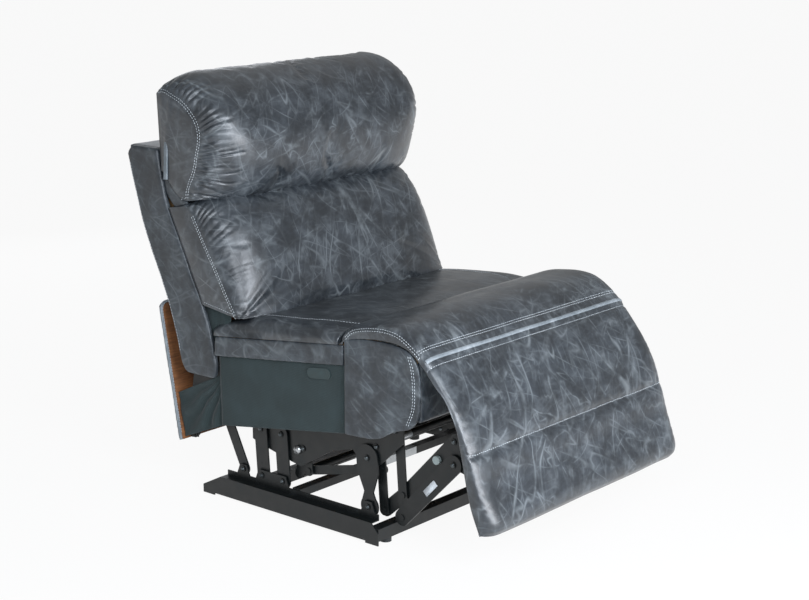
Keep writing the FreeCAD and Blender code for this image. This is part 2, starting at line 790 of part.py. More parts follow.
def seat_frame():
    pieces = []
    rear = v.seat_rear
    front = v.box_front - v.rail_board
    outline = [
        (rear, box_bottom(rear) + 2), (v.cover_front, box_bottom(v.cover_front) + 2),
        (v.box_front - v.panel_round, v.seat_low + v.plate_low - 46), (v.box_front, v.panel_top - 30),
        (v.box_front - v.panel_round, v.panel_top - 12), (v.cover_front, v.panel_top - 12),
        (v.cover_front - 4, band_top(v.cover_front) - 1), (rear - 14, band_top(rear - 14) - 1),
    ]
    for name, sign in SIDES:
        body = new_body(f"side_board_{name}", start_of(sign, board_inner, v.board_thick), False)
        add_pad(body, v.board_thick, outline)
        pieces.append(body)
    low = box_bottom(rear) + 8
    high = band_bottom(rear)
    board = [(rear, low), (rear + v.rail_board, low), (rear + v.rail_board, high), (rear, high)]
    pieces.append(cross_bar("rear_board", board, board_inner - v.bracket_thick, register=False))
    low = v.panel_top - 150
    high = v.panel_top - 18
    board = [(front, low), (v.box_front, low), (v.box_front, high), (front, high)]
    pieces.append(cross_bar("front_board", board, board_inner, register=False))
    group("seat_frame", pieces)


def side_cover(name, sign):
    rear = v.seat_rear
    front = v.cover_front
    outline = [
        (rear, box_bottom(rear)), (front - v.soft_gap, box_bottom(front)),
        (front - v.soft_gap, band_bottom(front) - v.soft_gap), (rear - 7, band_bottom(rear) - v.soft_gap),
    ]
    plate(f"side_cover_{name}", outline, board_outer, v.cover_thick, sign)


def side_bands():
    pieces = []
    rear = v.seat_rear
    front = v.cover_front
    outline = [
        (rear - 8, band_bottom(rear)), (front - v.soft_gap, band_bottom(front)),
        (front - v.soft_gap, band_top(front)), (rear - 24, band_top(rear - 24)),
    ]
    for name, sign in SIDES:
        body = plate(f"side_band_{name}", outline, board_outer, v.skin_depth, sign, register=False)
        pieces.append(body)
    group("side_bands", pieces)


def front_side_panel(name, sign):
    rear = v.cover_front + v.soft_gap
    front = v.panel_front
    top = v.panel_top
    low = box_bottom(rear)
    outline = [
        (rear, low), (rear + 95, low + 8), (rear + 150, low + 36), (front - 22, low + 54),
        (front, low + 96), (front + 2, top - 62), (front - 16, top - 20), (front - 56, top),
        (front - 138, top + 1), (rear, top - 10),
    ]
    body = plate(f"front_side_panel_{name}", outline, board_outer, v.skin_depth, sign)
    round_edges(body, v.panel_round, [outline[3], outline[6]])


def front_panel():
    face = v.box_front + v.front_panel_thick
    low = v.panel_top - 172
    high = v.panel_top - 30
    outline = [(v.box_front, low), (face, low), (face, high), (v.box_front, high)]
    cross_bar("front_panel", outline, board_outer)


def seat_springs():
    pieces = []
    start = (v.seat_rear + v.rail_board, band_bottom(v.seat_rear) + 20)
    end = (v.box_front - v.rail_board - 1, v.panel_top - 22)
    run = math.hypot(end[0].value - start[0].value, end[1].value - start[1].value)
    aim = unit(start, end)
    count = int(v.spring_count.value)
    pitch = board_inner.value * 2 / (count + 1)
    for i in range(count):
        across = -board_inner.value + pitch * (i + 1)
        wire = doc.addObject("Part::Cylinder", f"seat_spring_{i}")
        wire.Radius = v.spring_radius.value
        wire.setExpression("Radius", v.spring_radius.text)
        wire.Height = run
        wire.Placement = Placement(
            Vector(-across, -v.origin_back.value - start[0].value, start[1].value),
            Rotation(Vector(0, 0, 1), Vector(0, -aim.x, aim.y)),
        )
        pieces.append(wire)
    group("seat_springs", pieces)


def power_socket():
    # Small rounded inset in the right-hand cloth cover.
    middle = (v.cover_front - 84, band_bottom(v.cover_front - 84) - 24)
    half = v.socket_length / 2 - v.socket_height / 2
    rise = half * math.tan(math.radians(v.band_pitch.value))
    start = (middle[0] - half, middle[1] - rise)
    end = (middle[0] + half, middle[1] + rise)
    face = board_outer + v.cover_thick
    body = new_body("side_inset", start_of(1, face, 2))
    add_bar(body, start, end, v.socket_height, 2)
    for centre in (start, end):
        add_pad(body, 2, circles=[(centre, v.socket_height / 2)])


def tail_brackets():
    pieces = []
    rear = v.seat_rear
    hinge = back_hinge
    low = skirt_hinge
    outline = [
        (rear + 50, box_bottom(rear) + 24), (rear + 50, hinge[1] + 5), (rear - 20, hinge[1] + 24),
        (hinge[0] + 8, hinge[1] + 18), (hinge[0] - 12, hinge[1] + 8), (hinge[0] - 13, hinge[1] - 14),
        (low[0] - 9, low[1] + 60), (low[0] - 9, low[1] - 8), (low[0] + 9, low[1] - 8),
        (low[0] + 18, low[1] + 50), (rear - 30, box_bottom(rear) + 40),
    ]
    for name, sign in SIDES:
        inner = board_inner - v.bracket_thick
        body = plate(f"tail_bracket_{name}", outline, inner, v.bracket_thick, sign,
                     [(hinge, tight), (low, tight)], register=False)
        pieces.append(body)
        pieces.append(pin(f"back_hinge_pin_{name}", hinge, plate_layer, board_inner, sign))
        pieces.append(pin(f"skirt_pin_{name}", low, board_inner - v.bracket_thick * 4, board_inner, sign))
    group("tail_brackets", pieces)


def dust_cloths():
    pieces = []
    rear = v.seat_rear - v.soft_gap
    top = box_bottom(rear) + 128
    low = skirt_face(v.skirt_hinge_up - 6)
    high = skirt_face(v.skirt_hinge_up + 108)
    outline = [(rear, box_bottom(rear)), (rear - 5, top), high, low]
    for name, sign in SIDES:
        body = plate(f"dust_cloth_{name}", outline, board_outer, v.cover_thick, sign, register=False)
        pieces.append(body)
    group("dust_cloths", pieces)


def skirt_face(up):
    # A point just ahead of the skirt board's inner face.
    base = skirt_hinge[0] - 13 + v.soft_gap
    return (base - tan_of(v.skirt_lean) * (up - skirt_hinge[1]), up)


def seat_cushion():
    rear = v.seat_rear - 20
    front = v.pad_rear - v.soft_gap
    crown = v.cushion_crown
    lift = v.soft_gap
    middle_at = (rear + front) / 2
    seated = rear + 132
    base = [
        (rear, band_top(rear) + lift), (middle_at, band_top(middle_at) + lift),
        (front, band_top(front) + lift),
    ]
    side = base + [
        (front, band_top(front) + 12), (middle_at + 80, band_top(middle_at + 80) + 14),
        (middle_at - 30, band_top(middle_at - 30) + 14), (seated, band_top(seated) + 14),
        (rear, band_top(rear) + 12),
    ]
    middle = base + [
        (front, crown + 5), (middle_at + 80, crown + 6), (middle_at - 30, crown - 7),
        (seated, crown - 19), (rear, crown - 46),
    ]
    pillow("seat_cushion", side, middle, half_width - 2)


def chaise_pad():
    rear = v.pad_rear
    top = v.panel_top
    high = v.pad_top
    side = [
        (rear, top - 8), (rear + 25, top - 4), (rear + 105, top + 2), (rear + 185, top + 1),
        (rear + 225, top - 13), (rear + 246, top - 27), (rear + 248, top - 16), (rear + 227, high - 37),
        (rear + 182, high - 12), (rear + 145, high - 7), (rear + 85, high - 13), (rear + 45, high - 25),
        (rear + 15, high - 40), (rear + 4, top - 6),
    ]
    middle = [
        (rear, top - 8), (rear + 25, top - 4), (rear + 105, top + 2), (rear + 185, top + 1),
        (rear + 225, top - 13), (rear + 246, top - 27), (rear + 250, top - 2), (rear + 230, high - 22),
        (rear + 184, high), (rear + 145, high + 4), (rear + 85, high), (rear + 40, high - 11),
        (rear + 8, high - 28), (rear, top - 3),
    ]
    pillow("chaise_pad", side, middle, half_width, edge=14)


def chaise_bridge():
    rear = v.pad_rear
    top = v.panel_top
    gap = v.soft_gap
    side = [
        (rear + 247 + gap, top - 28), (rear + 285, top - 64), (rear + 321, top - 103),
        (rear + 337, top - 113), (rear + 313, top - 81), (rear + 287, top - 51), (rear + 249 + gap, top - 17),
    ]
    middle = [
        (rear + 247 + gap, top - 28), (rear + 285, top - 64), (rear + 321, top - 103),
        (rear + 343, top - 109), (rear + 321, top - 76), (rear + 296, top - 44), (rear + 251 + gap, top - 3),
    ]
    pillow("chaise_bridge", side, middle, half_width, edge=14)


# ---- footrest ----

def footrest_pad():
    rear = v.pad_rear
    top = v.panel_top
    side = [
        (rear + 322, top - 104), (rear + 349, top - 160), (rear + 365, top - 224), (rear + 389, top - 324),
        (rear + 421, top - 392), (rear + 427, top - 396), (rear + 426, top - 352), (rear + 410, top - 284),
        (rear + 389, top - 216), (rear + 366, top - 160), (rear + 338, top - 114),
    ]
    middle = [
        (rear + 322, top - 104), (rear + 349, top - 160), (rear + 365, top - 224), (rear + 389, top - 324),
        (rear + 418, top - 396), (rear + 440, top - 394), (rear + 447, top - 352), (rear + 422, top - 278),
        (rear + 395, top - 208), (rear + 372, top - 152), (rear + 344, top - 110),
    ]
    pillow("footrest_pad", side, middle, half_width, edge=14)


def board_line(share, back=0.0):
    # A point on the footrest board's front face, 0 at its top and 1 at its bottom.
    top = (v.pad_rear + 350, v.panel_top - 164)
    low = (v.pad_rear + 388, v.panel_top - 322)
    aim = unit(top, low)
    return shift(between(top, low, share), aim.y * back, -aim.x * back)


def footrest_board():
    gap = 0.4
    outline = [board_line(0, gap), board_line(1, gap), board_line(1, 12), board_line(0, 12)]
    cross_bar("footrest_board", outline, half_width - 44)


def footrest_bracket(name, sign):
    body = new_body(f"footrest_bracket_{name}", 0)
    start = start_of(sign, rocker_layer, v.sheet)
    outline = [
        (outer_end[0] - 13, outer_end[1] - 6), (outer_end[0] + 6, outer_end[1] - 14),
        board_line(0.86, 12), board_line(0.08, 12), (inner_end[0] + 4, inner_end[1] + 13),
        (inner_end[0] - 12, inner_end[1] + 4),
    ]
    holes = [(outer_end, tight), (inner_end, tight)]
    add_pad(body, v.sheet, outline, holes, start)
    reach = v.bracket_flange
    flange = [board_line(0.86, 15), board_line(0.86, 12), board_line(0.08, 12), board_line(0.08, 15)]
    add_pad(body, reach, flange, offset=start_of(sign, rocker_layer + v.sheet, reach))


def footrest_pins():
    pieces = []
    for name, sign in SIDES:
        pieces.append(pin(f"outer_end_pin_{name}", outer_end, rocker_layer, outer_layer + v.sheet, sign))
        pieces.append(pin(f"inner_end_pin_{name}", inner_end, inner_layer, rocker_layer + v.sheet, sign))
    group("footrest_pins", pieces)


# ---- back ----

def back_point(share, ahead):
    # Share 0 is level with the back hinge and 1 with the headrest hinge.
    level = between(back_hinge, head_hinge, share)
    return (level[0] + ahead, level[1])


wing_low = back_point(0.085, 102)
wing_seat = back_point(0.264, 84)
wing_middle = back_point(0.541, 33)
wing_shoulder = back_point(0.9, -37)
wing_neck = back_point(1.048, -50)
wing_front_top = back_point(1.21, -58)
wing_rear_top = back_point(1.21, -156)
wing_rear = [back_point(1.175, -172), back_point(0.769, -130), back_point(0.36, -58)]
shell_hem = back_point(0.175, -35)


def frame_front(point):
    return shift(point, -v.frame_setback, 4)


frame_top = back_point(1.157, -66)
frame_rail_low = between(frame_front(wing_shoulder), frame_top, 0.3)
frame_rail_high = between(frame_front(wing_shoulder), frame_top, 0.98)


def back_shell():
    # Two side wings, a rear wall that follows their rear edges and a top wall.
    body = new_body("back_shell", 0)
    heel = back_point(-0.013, -12)
    toe = back_point(-0.013, 97)
    outline = wing_rear + [back_point(0.083, -26), heel, toe, wing_low, wing_seat, wing_middle,
                           wing_shoulder, wing_neck, wing_front_top, wing_rear_top]
    for name, sign in SIDES:
        add_pad(body, v.shell_thick, outline,
                offset=start_of(sign, half_width - v.shell_thick, v.shell_thick))
    wall = v.shell_thick
    inside = half_width - wall
    outer = wing_rear + [shell_hem]
    inner = [shift(point, wall, wall / 4) for point in reversed(outer)]
    add_pad(body, inside * 2, outer + inner, offset=-inside)
    top = [shift(wing_rear[0], 2, 2), shift(wing_rear_top, 0, -wall), shift(wing_front_top, 0, -wall),
           wing_front_top, wing_rear_top]
    add_pad(body, inside * 2, top, offset=-inside)
    round_edges(body, v.wing_round, [heel, toe])


def back_frame():
    # Two uprights and two rails. The rails reach out to the wings and carry them.
    body = new_body("back_frame", 0)
    front = [frame_front(point) for point in (wing_low, wing_seat, wing_middle, wing_shoulder)]
    rear = [shift(point, -v.frame_depth, 4) for point in reversed(front)]
    outline = front + [frame_top, shift(frame_top, -v.frame_depth, 0)] + rear
    inner = plate_layer + v.sheet
    for name, sign in SIDES:
        add_pad(body, v.back_board, outline, offset=start_of(sign, inner, v.back_board))
    waist = [between(front[1], front[2], share) for share in (0.22, 0.62)]
    reach = half_width - v.shell_thick
    for low, high in (waist, (frame_rail_low, frame_rail_high)):
        rail = [low, high, shift(high, -v.back_board, -6), shift(low, -v.back_board, -6)]
        add_pad(body, reach * 2, rail, offset=-reach)


def back_brackets():
    pieces = []
    hinge = back_hinge
    low = back_link_top
    outline = [
        (hinge[0] - 14, hinge[1] - 8), (low[0] - 14, low[1] - 15), (low[0] + 12, low[1] - 13),
        (hinge[0] + 78, hinge[1] + 46), (hinge[0] + 58, hinge[1] + 136),
        (hinge[0] + 14, hinge[1] + 120), (hinge[0] - 10, hinge[1] + 14),
    ]
    for name, sign in SIDES:
        body = plate(f"back_bracket_plate_{name}", outline, plate_layer, v.sheet, sign,
                     [(hinge, loose), (low, tight)], register=False)
        pieces.append(body)
        pieces.append(pin(f"back_link_pin_{name}", low, plate_layer, lift_layer + v.sheet, sign))
    group("back_brackets", pieces)


def back_cushion():
    rest = [
        shift(between(wing_middle, wing_shoulder, 0.98), v.soft_gap, 0),
        shift(wing_middle, v.soft_gap, 0),
        shift(between(wing_seat, wing_middle, 0.48), v.soft_gap, 0),
    ]
    side = [back_point(0.358, 185), back_point(0.524, 142), back_point(0.7, 97),
            back_point(0.82, 68), back_point(0.88, 52), back_point(0.893, 31)] + rest
    middle = [back_point(0.358, 236), back_point(0.524, 222), back_point(0.7, 191),
              back_point(0.82, 165), back_point(0.912, 130), back_point(0.912, 40)] + rest
    pillow("back_cushion", side, middle, half_width - 3)


def back_links():
    pieces = []
    for name, sign in SIDES:
        holes = [(back_link_low, loose), (back_link_top, loose + v.back_link_play)]
        pieces.append(link(f"back_link_{name}", [back_link_low, back_link_top], v.back_link_width,
                           lift_layer, sign, holes, False))
    group("back_links", pieces)


def skirt():
    lean = math.radians(v.skirt_lean.value)
    up = Vector(-math.sin(lean), math.cos(lean), 0)
    back = Vector(-math.cos(lean), -math.sin(lean), 0)
    foot = Vector(skirt_hinge[0].value - 13, skirt_hinge[1].value - 12, 0)

    def at(height, depth):
        spot = foot + up * float(height) + back * float(depth)
        return (spot.x, spot.y)

    board = [at(0, 0), at(v.skirt_length, 0), at(v.skirt_length, v.skirt_thick), at(0, v.skirt_thick)]
    cross_bar("skirt_board", board, half_width - 8)
    deep = v.skirt_thick + v.skirt_cover
    cover = [at(0, v.skirt_thick), at(v.skirt_length, v.skirt_thick), at(v.skirt_length, deep), at(0, deep)]
    cross_bar("skirt_leather", cover, half_width - 4)
    pieces = []
    for name, sign in SIDES:
        inner = board_inner - v.bracket_thick * 3
        lug = [at(2, 0), at(34, 0), (skirt_hinge[0] + 9, skirt_hinge[1] + 9),
               (skirt_hinge[0] + 9, skirt_hinge[1] - 9)]
        pieces.append(plate(f"skirt_lug_{name}", lug, inner, v.bracket_thick, sign,
                            [(skirt_hinge, loose)], register=False))
    group("skirt_lugs", pieces)


# ---- headrest ----

def headrest():
    hinge = Vector(head_hinge[0].value, head_hinge[1].value, 0)
    radius = v.head_round.value
    rise = v.head_rise.value
    arc = []
    for degrees in (-15, -50, -85, -120, -155, -185):
        turn = math.radians(degrees)
        arc.append((hinge.x + radius * math.cos(turn), hinge.y + radius * math.sin(turn)))

    def head_point(share, ahead):
        return (hinge.x + ahead, hinge.y + rise * share)

    side = [head_point(0.58, -49), head_point(0.861, -58), head_point(0.822, -9), head_point(0.69, 57),
            head_point(0.527, 85), head_point(0.427, 85), head_point(0.228, 71), head_point(0.135, 62),
            head_point(0.085, 55), head_point(0.045, 50), head_point(0.01, 45)] + arc
    middle = [head_point(0.58, -51), head_point(0.932, -60), head_point(1, -22), head_point(0.979, 43),
              head_point(0.847, 108), head_point(0.63, 155), head_point(0.349, 171),
              head_point(0.16, 166), head_point(0.064, 146), head_point(0.018, 110),
              head_point(0, 62)] + arc
    pin_start = v.arm_spread + v.arm_thick / 2 - v.head_pin_length / 2
    bores = []
    pins = []
    arms = []
    for name, sign in SIDES:
        slot_from = start_of(sign, v.arm_spread - v.arm_slack, v.arm_thick + v.arm_slack * 2).value
        bore_from = start_of(sign, pin_start, v.head_pin_length).value
        slot = Part.makeCylinder(radius + 3, (v.arm_thick + v.arm_slack * 2).value,
                                 hinge + Vector(0, 0, slot_from))
        bore = Part.makeCylinder(v.pin_radius.value, v.head_pin_length.value,
                                 hinge + Vector(0, 0, bore_from))
        bores.extend([slot, bore])
        pins.append(disc(f"headrest_pin_{name}", head_hinge, v.pin_radius, pin_start,
                         v.head_pin_length, sign))
        arm = new_body(f"headrest_arm_{name}", start_of(sign, v.arm_spread, v.arm_thick), False)
        corners = [shift(head_hinge, 0, -v.arm_hub), shift(head_hinge, 0, v.arm_hub),
                   between(frame_rail_low, frame_rail_high, 0.3),
                   between(frame_rail_low, frame_rail_high, 0.06)]
        add_pad(arm, v.arm_thick, corners)
        add_pad(arm, v.arm_thick, circles=[(head_hinge, v.arm_hub)])
        add_holes(arm, [(head_hinge, loose)], v.arm_thick)
        arms.append(arm)
    pillow("headrest_cushion", side, middle, half_width - v.head_side, bores=bores)
    group("headrest_pins", pins)
    group("headrest_arms", arms)
    strip = [head_point(0.502, -50.4), head_point(0.629, -52.4), head_point(0.629, -60.4),
             head_point(0.502, -58.4)]
    cross_bar("headrest_plate", strip, half_width - 20)


keep_bumpers = []

for side_name, side_sign in SIDES:
    base_rail(side_name, side_sign)
square_tube("front_cross_rail", v.front_tube_at, rail_outer - v.rail_sheet)
square_tube("rear_cross_rail", v.rear_tube_at, rail_outer - v.rail_sheet)
motor_cross_rail()
base_glides()
base_pins()
front_lift_links()
straight_lift_links("middle_lift_links", middle_lift_foot)
straight_lift_links("rear_lift_links", rear_lift_foot)
for side_name, side_sign in SIDES:
    ottoman_links(side_name, side_sign)
group("ottoman_bumpers", keep_bumpers)
drive_crank()
drive_links()
for side_name, side_sign in SIDES:
    seat_side_plate(side_name, side_sign)
    side_cover(side_name, side_sign)
    front_side_panel(side_name, side_sign)
seat_pins()
seat_frame()
side_bands()
front_panel()
seat_springs()
power_socket()
tail_brackets()
dust_cloths()
seat_cushion()
chaise_pad()
chaise_bridge()
footrest_pad()
footrest_board()
for side_name, side_sign in SIDES:
    footrest_bracket(side_name, side_sign)
footrest_pins()
back_shell()
back_frame()
back_brackets()
back_cushion()
back_links()
skirt()
headrest()

doc.recompute()
for item in doc.Objects:
    if "Invalid" in item.State or "Error" in item.State:
        raise RuntimeError(f"{item.Name} did not compute: {item.State}")
for item in nodes:
    if item.Shape.isNull() or not item.Shape.isValid():
        raise RuntimeError(f"{item.Label} has no valid shape")

os.makedirs("parts", exist_ok=True)
for item in nodes:
    item.Shape.exportStep(f"parts/{item.Label}.step")
print(f"{len(nodes)} nodes written")
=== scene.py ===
import math

import bmesh
import bpy
import numpy as np
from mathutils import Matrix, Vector, noise
from mathutils.bvhtree import BVHTree


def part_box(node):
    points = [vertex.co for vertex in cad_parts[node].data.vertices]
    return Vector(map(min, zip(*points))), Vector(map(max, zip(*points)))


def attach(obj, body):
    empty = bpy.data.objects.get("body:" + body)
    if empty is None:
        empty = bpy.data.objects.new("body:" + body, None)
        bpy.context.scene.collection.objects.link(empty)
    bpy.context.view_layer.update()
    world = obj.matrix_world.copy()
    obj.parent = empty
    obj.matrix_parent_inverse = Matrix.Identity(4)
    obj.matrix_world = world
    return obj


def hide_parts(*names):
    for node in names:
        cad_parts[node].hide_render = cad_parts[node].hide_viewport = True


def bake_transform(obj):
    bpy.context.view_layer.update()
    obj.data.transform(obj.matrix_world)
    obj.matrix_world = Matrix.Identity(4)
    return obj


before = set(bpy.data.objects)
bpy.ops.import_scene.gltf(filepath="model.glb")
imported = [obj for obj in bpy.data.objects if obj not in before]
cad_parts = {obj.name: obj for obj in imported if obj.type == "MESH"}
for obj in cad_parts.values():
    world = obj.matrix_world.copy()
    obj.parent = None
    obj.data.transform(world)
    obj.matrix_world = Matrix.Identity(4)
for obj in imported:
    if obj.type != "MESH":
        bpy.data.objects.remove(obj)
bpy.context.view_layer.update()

mm = 0.001
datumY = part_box("base_rail_right")[0].y + 5 * mm   # side views are measured forward from here


def toFrame(across, forward, up):
    # sitter's right, forward and up in mm, to the frame in metres
    return np.stack([-across * mm, datumY - forward * mm, up * mm], axis=-1)


def place(across, forward, up):
    return Vector((-across * mm, datumY - forward * mm, up * mm))


def sideRow(across, points):
    # side-view points at one distance across
    return toFrame(np.full(len(points), across), points[:, 0], points[:, 1])


def smoothStep(low, high, value):
    t = np.clip((value - low) / (high - low), 0, 1)
    return t * t * (3 - 2 * t)


def bump(value, centre, width):
    return np.exp(-((value - centre) / width) ** 2)


# ---------- curves in the side view ----------

def denseCurve(points, steps=24):
    # Catmull-Rom through the given points
    given = np.array(points, float)
    ends = np.vstack([2 * given[0] - given[1], given, 2 * given[-1] - given[-2]])
    t = np.linspace(0, 1, steps, endpoint=False)[:, None]
    spans = []
    for i in range(1, len(ends) - 2):
        a, b, c, d = ends[i - 1:i + 3]
        spans.append(0.5 * (2 * b + (c - a) * t + (2 * a - 5 * b + 4 * c - d) * t ** 2
                            + (3 * b - a - 3 * c + d) * t ** 3))
    return np.vstack(spans + [given[-1:]])


class Line:
    # a smooth line that can be read at any share of its length
    def __init__(self, points, straight=False):
        self.points = np.array(points, float) if straight else denseCurve(points)
        steps = np.linalg.norm(np.diff(self.points, axis=0), axis=1)
        self.runs = np.concatenate([[0], np.cumsum(steps)])
        self.length = self.runs[-1]

    def at(self, share):
        run = np.asarray(share) * self.length
        return np.stack([np.interp(run, self.runs, column) for column in self.points.T], -1)

    def shareNear(self, point):
        gaps = np.linalg.norm(self.points - np.array(point, float), axis=1)
        return self.runs[int(np.argmin(gaps))] / self.length


def roundCorners(corners, radii, steps=7):
    # a polygon whose corners become arcs; a radius of 0 keeps the corner
    given = np.array(corners, float)
    out = []
    for i, corner in enumerate(given):
        before = given[i - 1] - corner
        after = given[(i + 1) % len(given)] - corner
        radius = radii[i] if hasattr(radii, "__len__") else radii
        if radius <= 0:
            out.append(corner)
            continue
        reach = min(radius, 0.45 * np.linalg.norm(before), 0.45 * np.linalg.norm(after))
        start = corner + before / np.linalg.norm(before) * reach
        end = corner + after / np.linalg.norm(after) * reach
        for t in np.linspace(0, 1, steps):
            out.append((1 - t) ** 2 * start + 2 * t * (1 - t) * corner + t * t * end)
    return out


# ---------- meshes ----------

def addObject(name, data):
    item = bpy.data.objects.new(name, data)
    bpy.context.scene.collection.objects.link(item)
    return item


def newMesh(name, vertices, faces, edges=()):
    mesh = bpy.data.meshes.new(name)
    mesh.from_pydata([tuple(v) for v in vertices], list(edges), faces)
    return addObject(name, mesh)


def smoothFaces(piece, smooth=True):
    for face in piece.data.polygons:
        face.use_smooth = smooth


def tidyMesh(piece, mergeAt=0.00005, turnOut=True):
    work = bmesh.new()
    work.from_mesh(piece.data)
    bmesh.ops.remove_doubles(work, verts=work.verts, dist=mergeAt)
    bmesh.ops.dissolve_degenerate(work, edges=work.edges, dist=mergeAt / 2)
    if turnOut:
        bmesh.ops.recalc_face_normals(work, faces=work.faces)
    work.to_mesh(piece.data)
    work.free()
    smoothFaces(piece)
    piece.data.update()
    return piece


def coordinates(mesh):
    flat = np.zeros(len(mesh.vertices) * 3)
    mesh.vertices.foreach_get("co", flat)
    return flat.reshape(-1, 3)


def setCoordinates(mesh, points):
    mesh.vertices.foreach_set("co", np.asarray(points, float).ravel())
    mesh.update()


def normalsOf(mesh):
    flat = np.zeros(len(mesh.vertices) * 3)
    mesh.vertices.foreach_get("normal", flat)
    return flat.reshape(-1, 3)


def bakeModifiers(piece):
    # the piece with its modifiers becomes a plain mesh
    bpy.context.view_layer.update()
    graph = bpy.context.evaluated_depsgraph_get()
    mesh = bpy.data.meshes.new_from_object(piece.evaluated_get(graph))
    piece.modifiers.clear()
    old = piece.data
    if piece.type == "MESH":
        piece.data = mesh
        bpy.data.meshes.remove(old)
        return piece
    name = piece.name
    bpy.data.objects.remove(piece)
    return addObject(name, mesh)


def addModifier(piece, kind, **settings):
    modifier = piece.modifiers.new(kind.lower(), kind)
    for key, value in settings.items():
        setattr(modifier, key, value)


def evenMesh(piece, voxel, rounds):
    # small even faces, in mm, then softened edges
    addModifier(piece, "REMESH", mode="VOXEL", voxel_size=voxel * mm)
    addModifier(piece, "SMOOTH", iterations=rounds, factor=0.5)
    return bakeModifiers(piece)


def prismFaces(count):
    # two end rings of this many corners, and the walls between them
    ends = [list(range(count))[::-1], list(range(count, 2 * count))]
    return ends + [[i, (i + 1) % count, count + (i + 1) % count, count + i] for i in range(count)]


def denseSteps(count, focus=(), spread=0.02, gain=3.0, ends=0.0):
    # shares from 0 to 1, closer together at the focus shares
    fine = np.linspace(0, 1, 2000)
    density = np.ones_like(fine)
    for centre in focus:
        density += gain * bump(fine, centre, spread)
    density += ends * (bump(fine, 0, 0.04) + bump(fine, 1, 0.04))
    total = np.concatenate([[0], np.cumsum((density[1:] + density[:-1]) / 2)])
    return np.interp(np.linspace(0, total[-1], count + 1), total, fine)


class SoftBox:
    # A closed box-like grid. a runs across from -1 to 1, b along the side outline from 0 to 1,
    # and c from the inner line at 0 to the outer line at 1.
    def __init__(self, name, aSteps, bSteps, cSteps, form):
        counts = (len(aSteps) - 1, len(bSteps) - 1, len(cSteps) - 1)
        index = {}
        rows = []

        def corner(i, j, k):
            key = (i, j, k)
            if key not in index:
                index[key] = len(rows)
                rows.append((aSteps[i], bSteps[j], cSteps[k]))
            return index[key]

        faces = []
        na, nb, nc = counts
        for j in range(nb):
            for i in range(na):
                for k in (0, nc):
                    faces.append([corner(i, j, k), corner(i + 1, j, k), corner(i + 1, j + 1, k),
                                  corner(i, j + 1, k)])
            for k in range(nc):
                for i in (0, na):
                    faces.append([corner(i, j, k), corner(i, j + 1, k), corner(i, j + 1, k + 1),
                                  corner(i, j, k + 1)])
        for i in range(na):
            for k in range(nc):
                for j in (0, nb):
                    faces.append([corner(i, j, k), corner(i + 1, j, k), corner(i + 1, j, k + 1),
                                  corner(i, j, k + 1)])
        self.a, self.b, self.c = np.array(rows).T
        self.form = form
        across, forward, up = form(self.a, self.b, self.c)
        self.piece = newMesh(name, toFrame(across, forward, up), faces)
        work = bmesh.new()
        work.from_mesh(self.piece.data)
        bmesh.ops.recalc_face_normals(work, faces=work.faces)
        work.to_mesh(self.piece.data)
        work.free()

    def push(self, amount):
        # move every point along its normal, in mm
        mesh = self.piece.data
        setCoordinates(mesh, coordinates(mesh) + normalsOf(mesh) * (np.asarray(amount) * mm)[:, None])

    def onFace(self, a, b, c=1.0):
        # points of the plain form, for seams, in metres
        a, b, c = np.broadcast_arrays(np.asarray(a, float), np.asarray(b, float), np.asarray(c, float))
        return toFrame(*self.form(a, b, c))


swellSizes = {"across": 96, "along": 84, "deep": 4, "blur": 7, "bulge": 0.25, "frames": 20}
coverCloth = {"quality": 4, "mass": 0.25, "tension_stiffness": 12, "compression_stiffness": 12,
              "shear_stiffness": 5, "use_pressure": True}


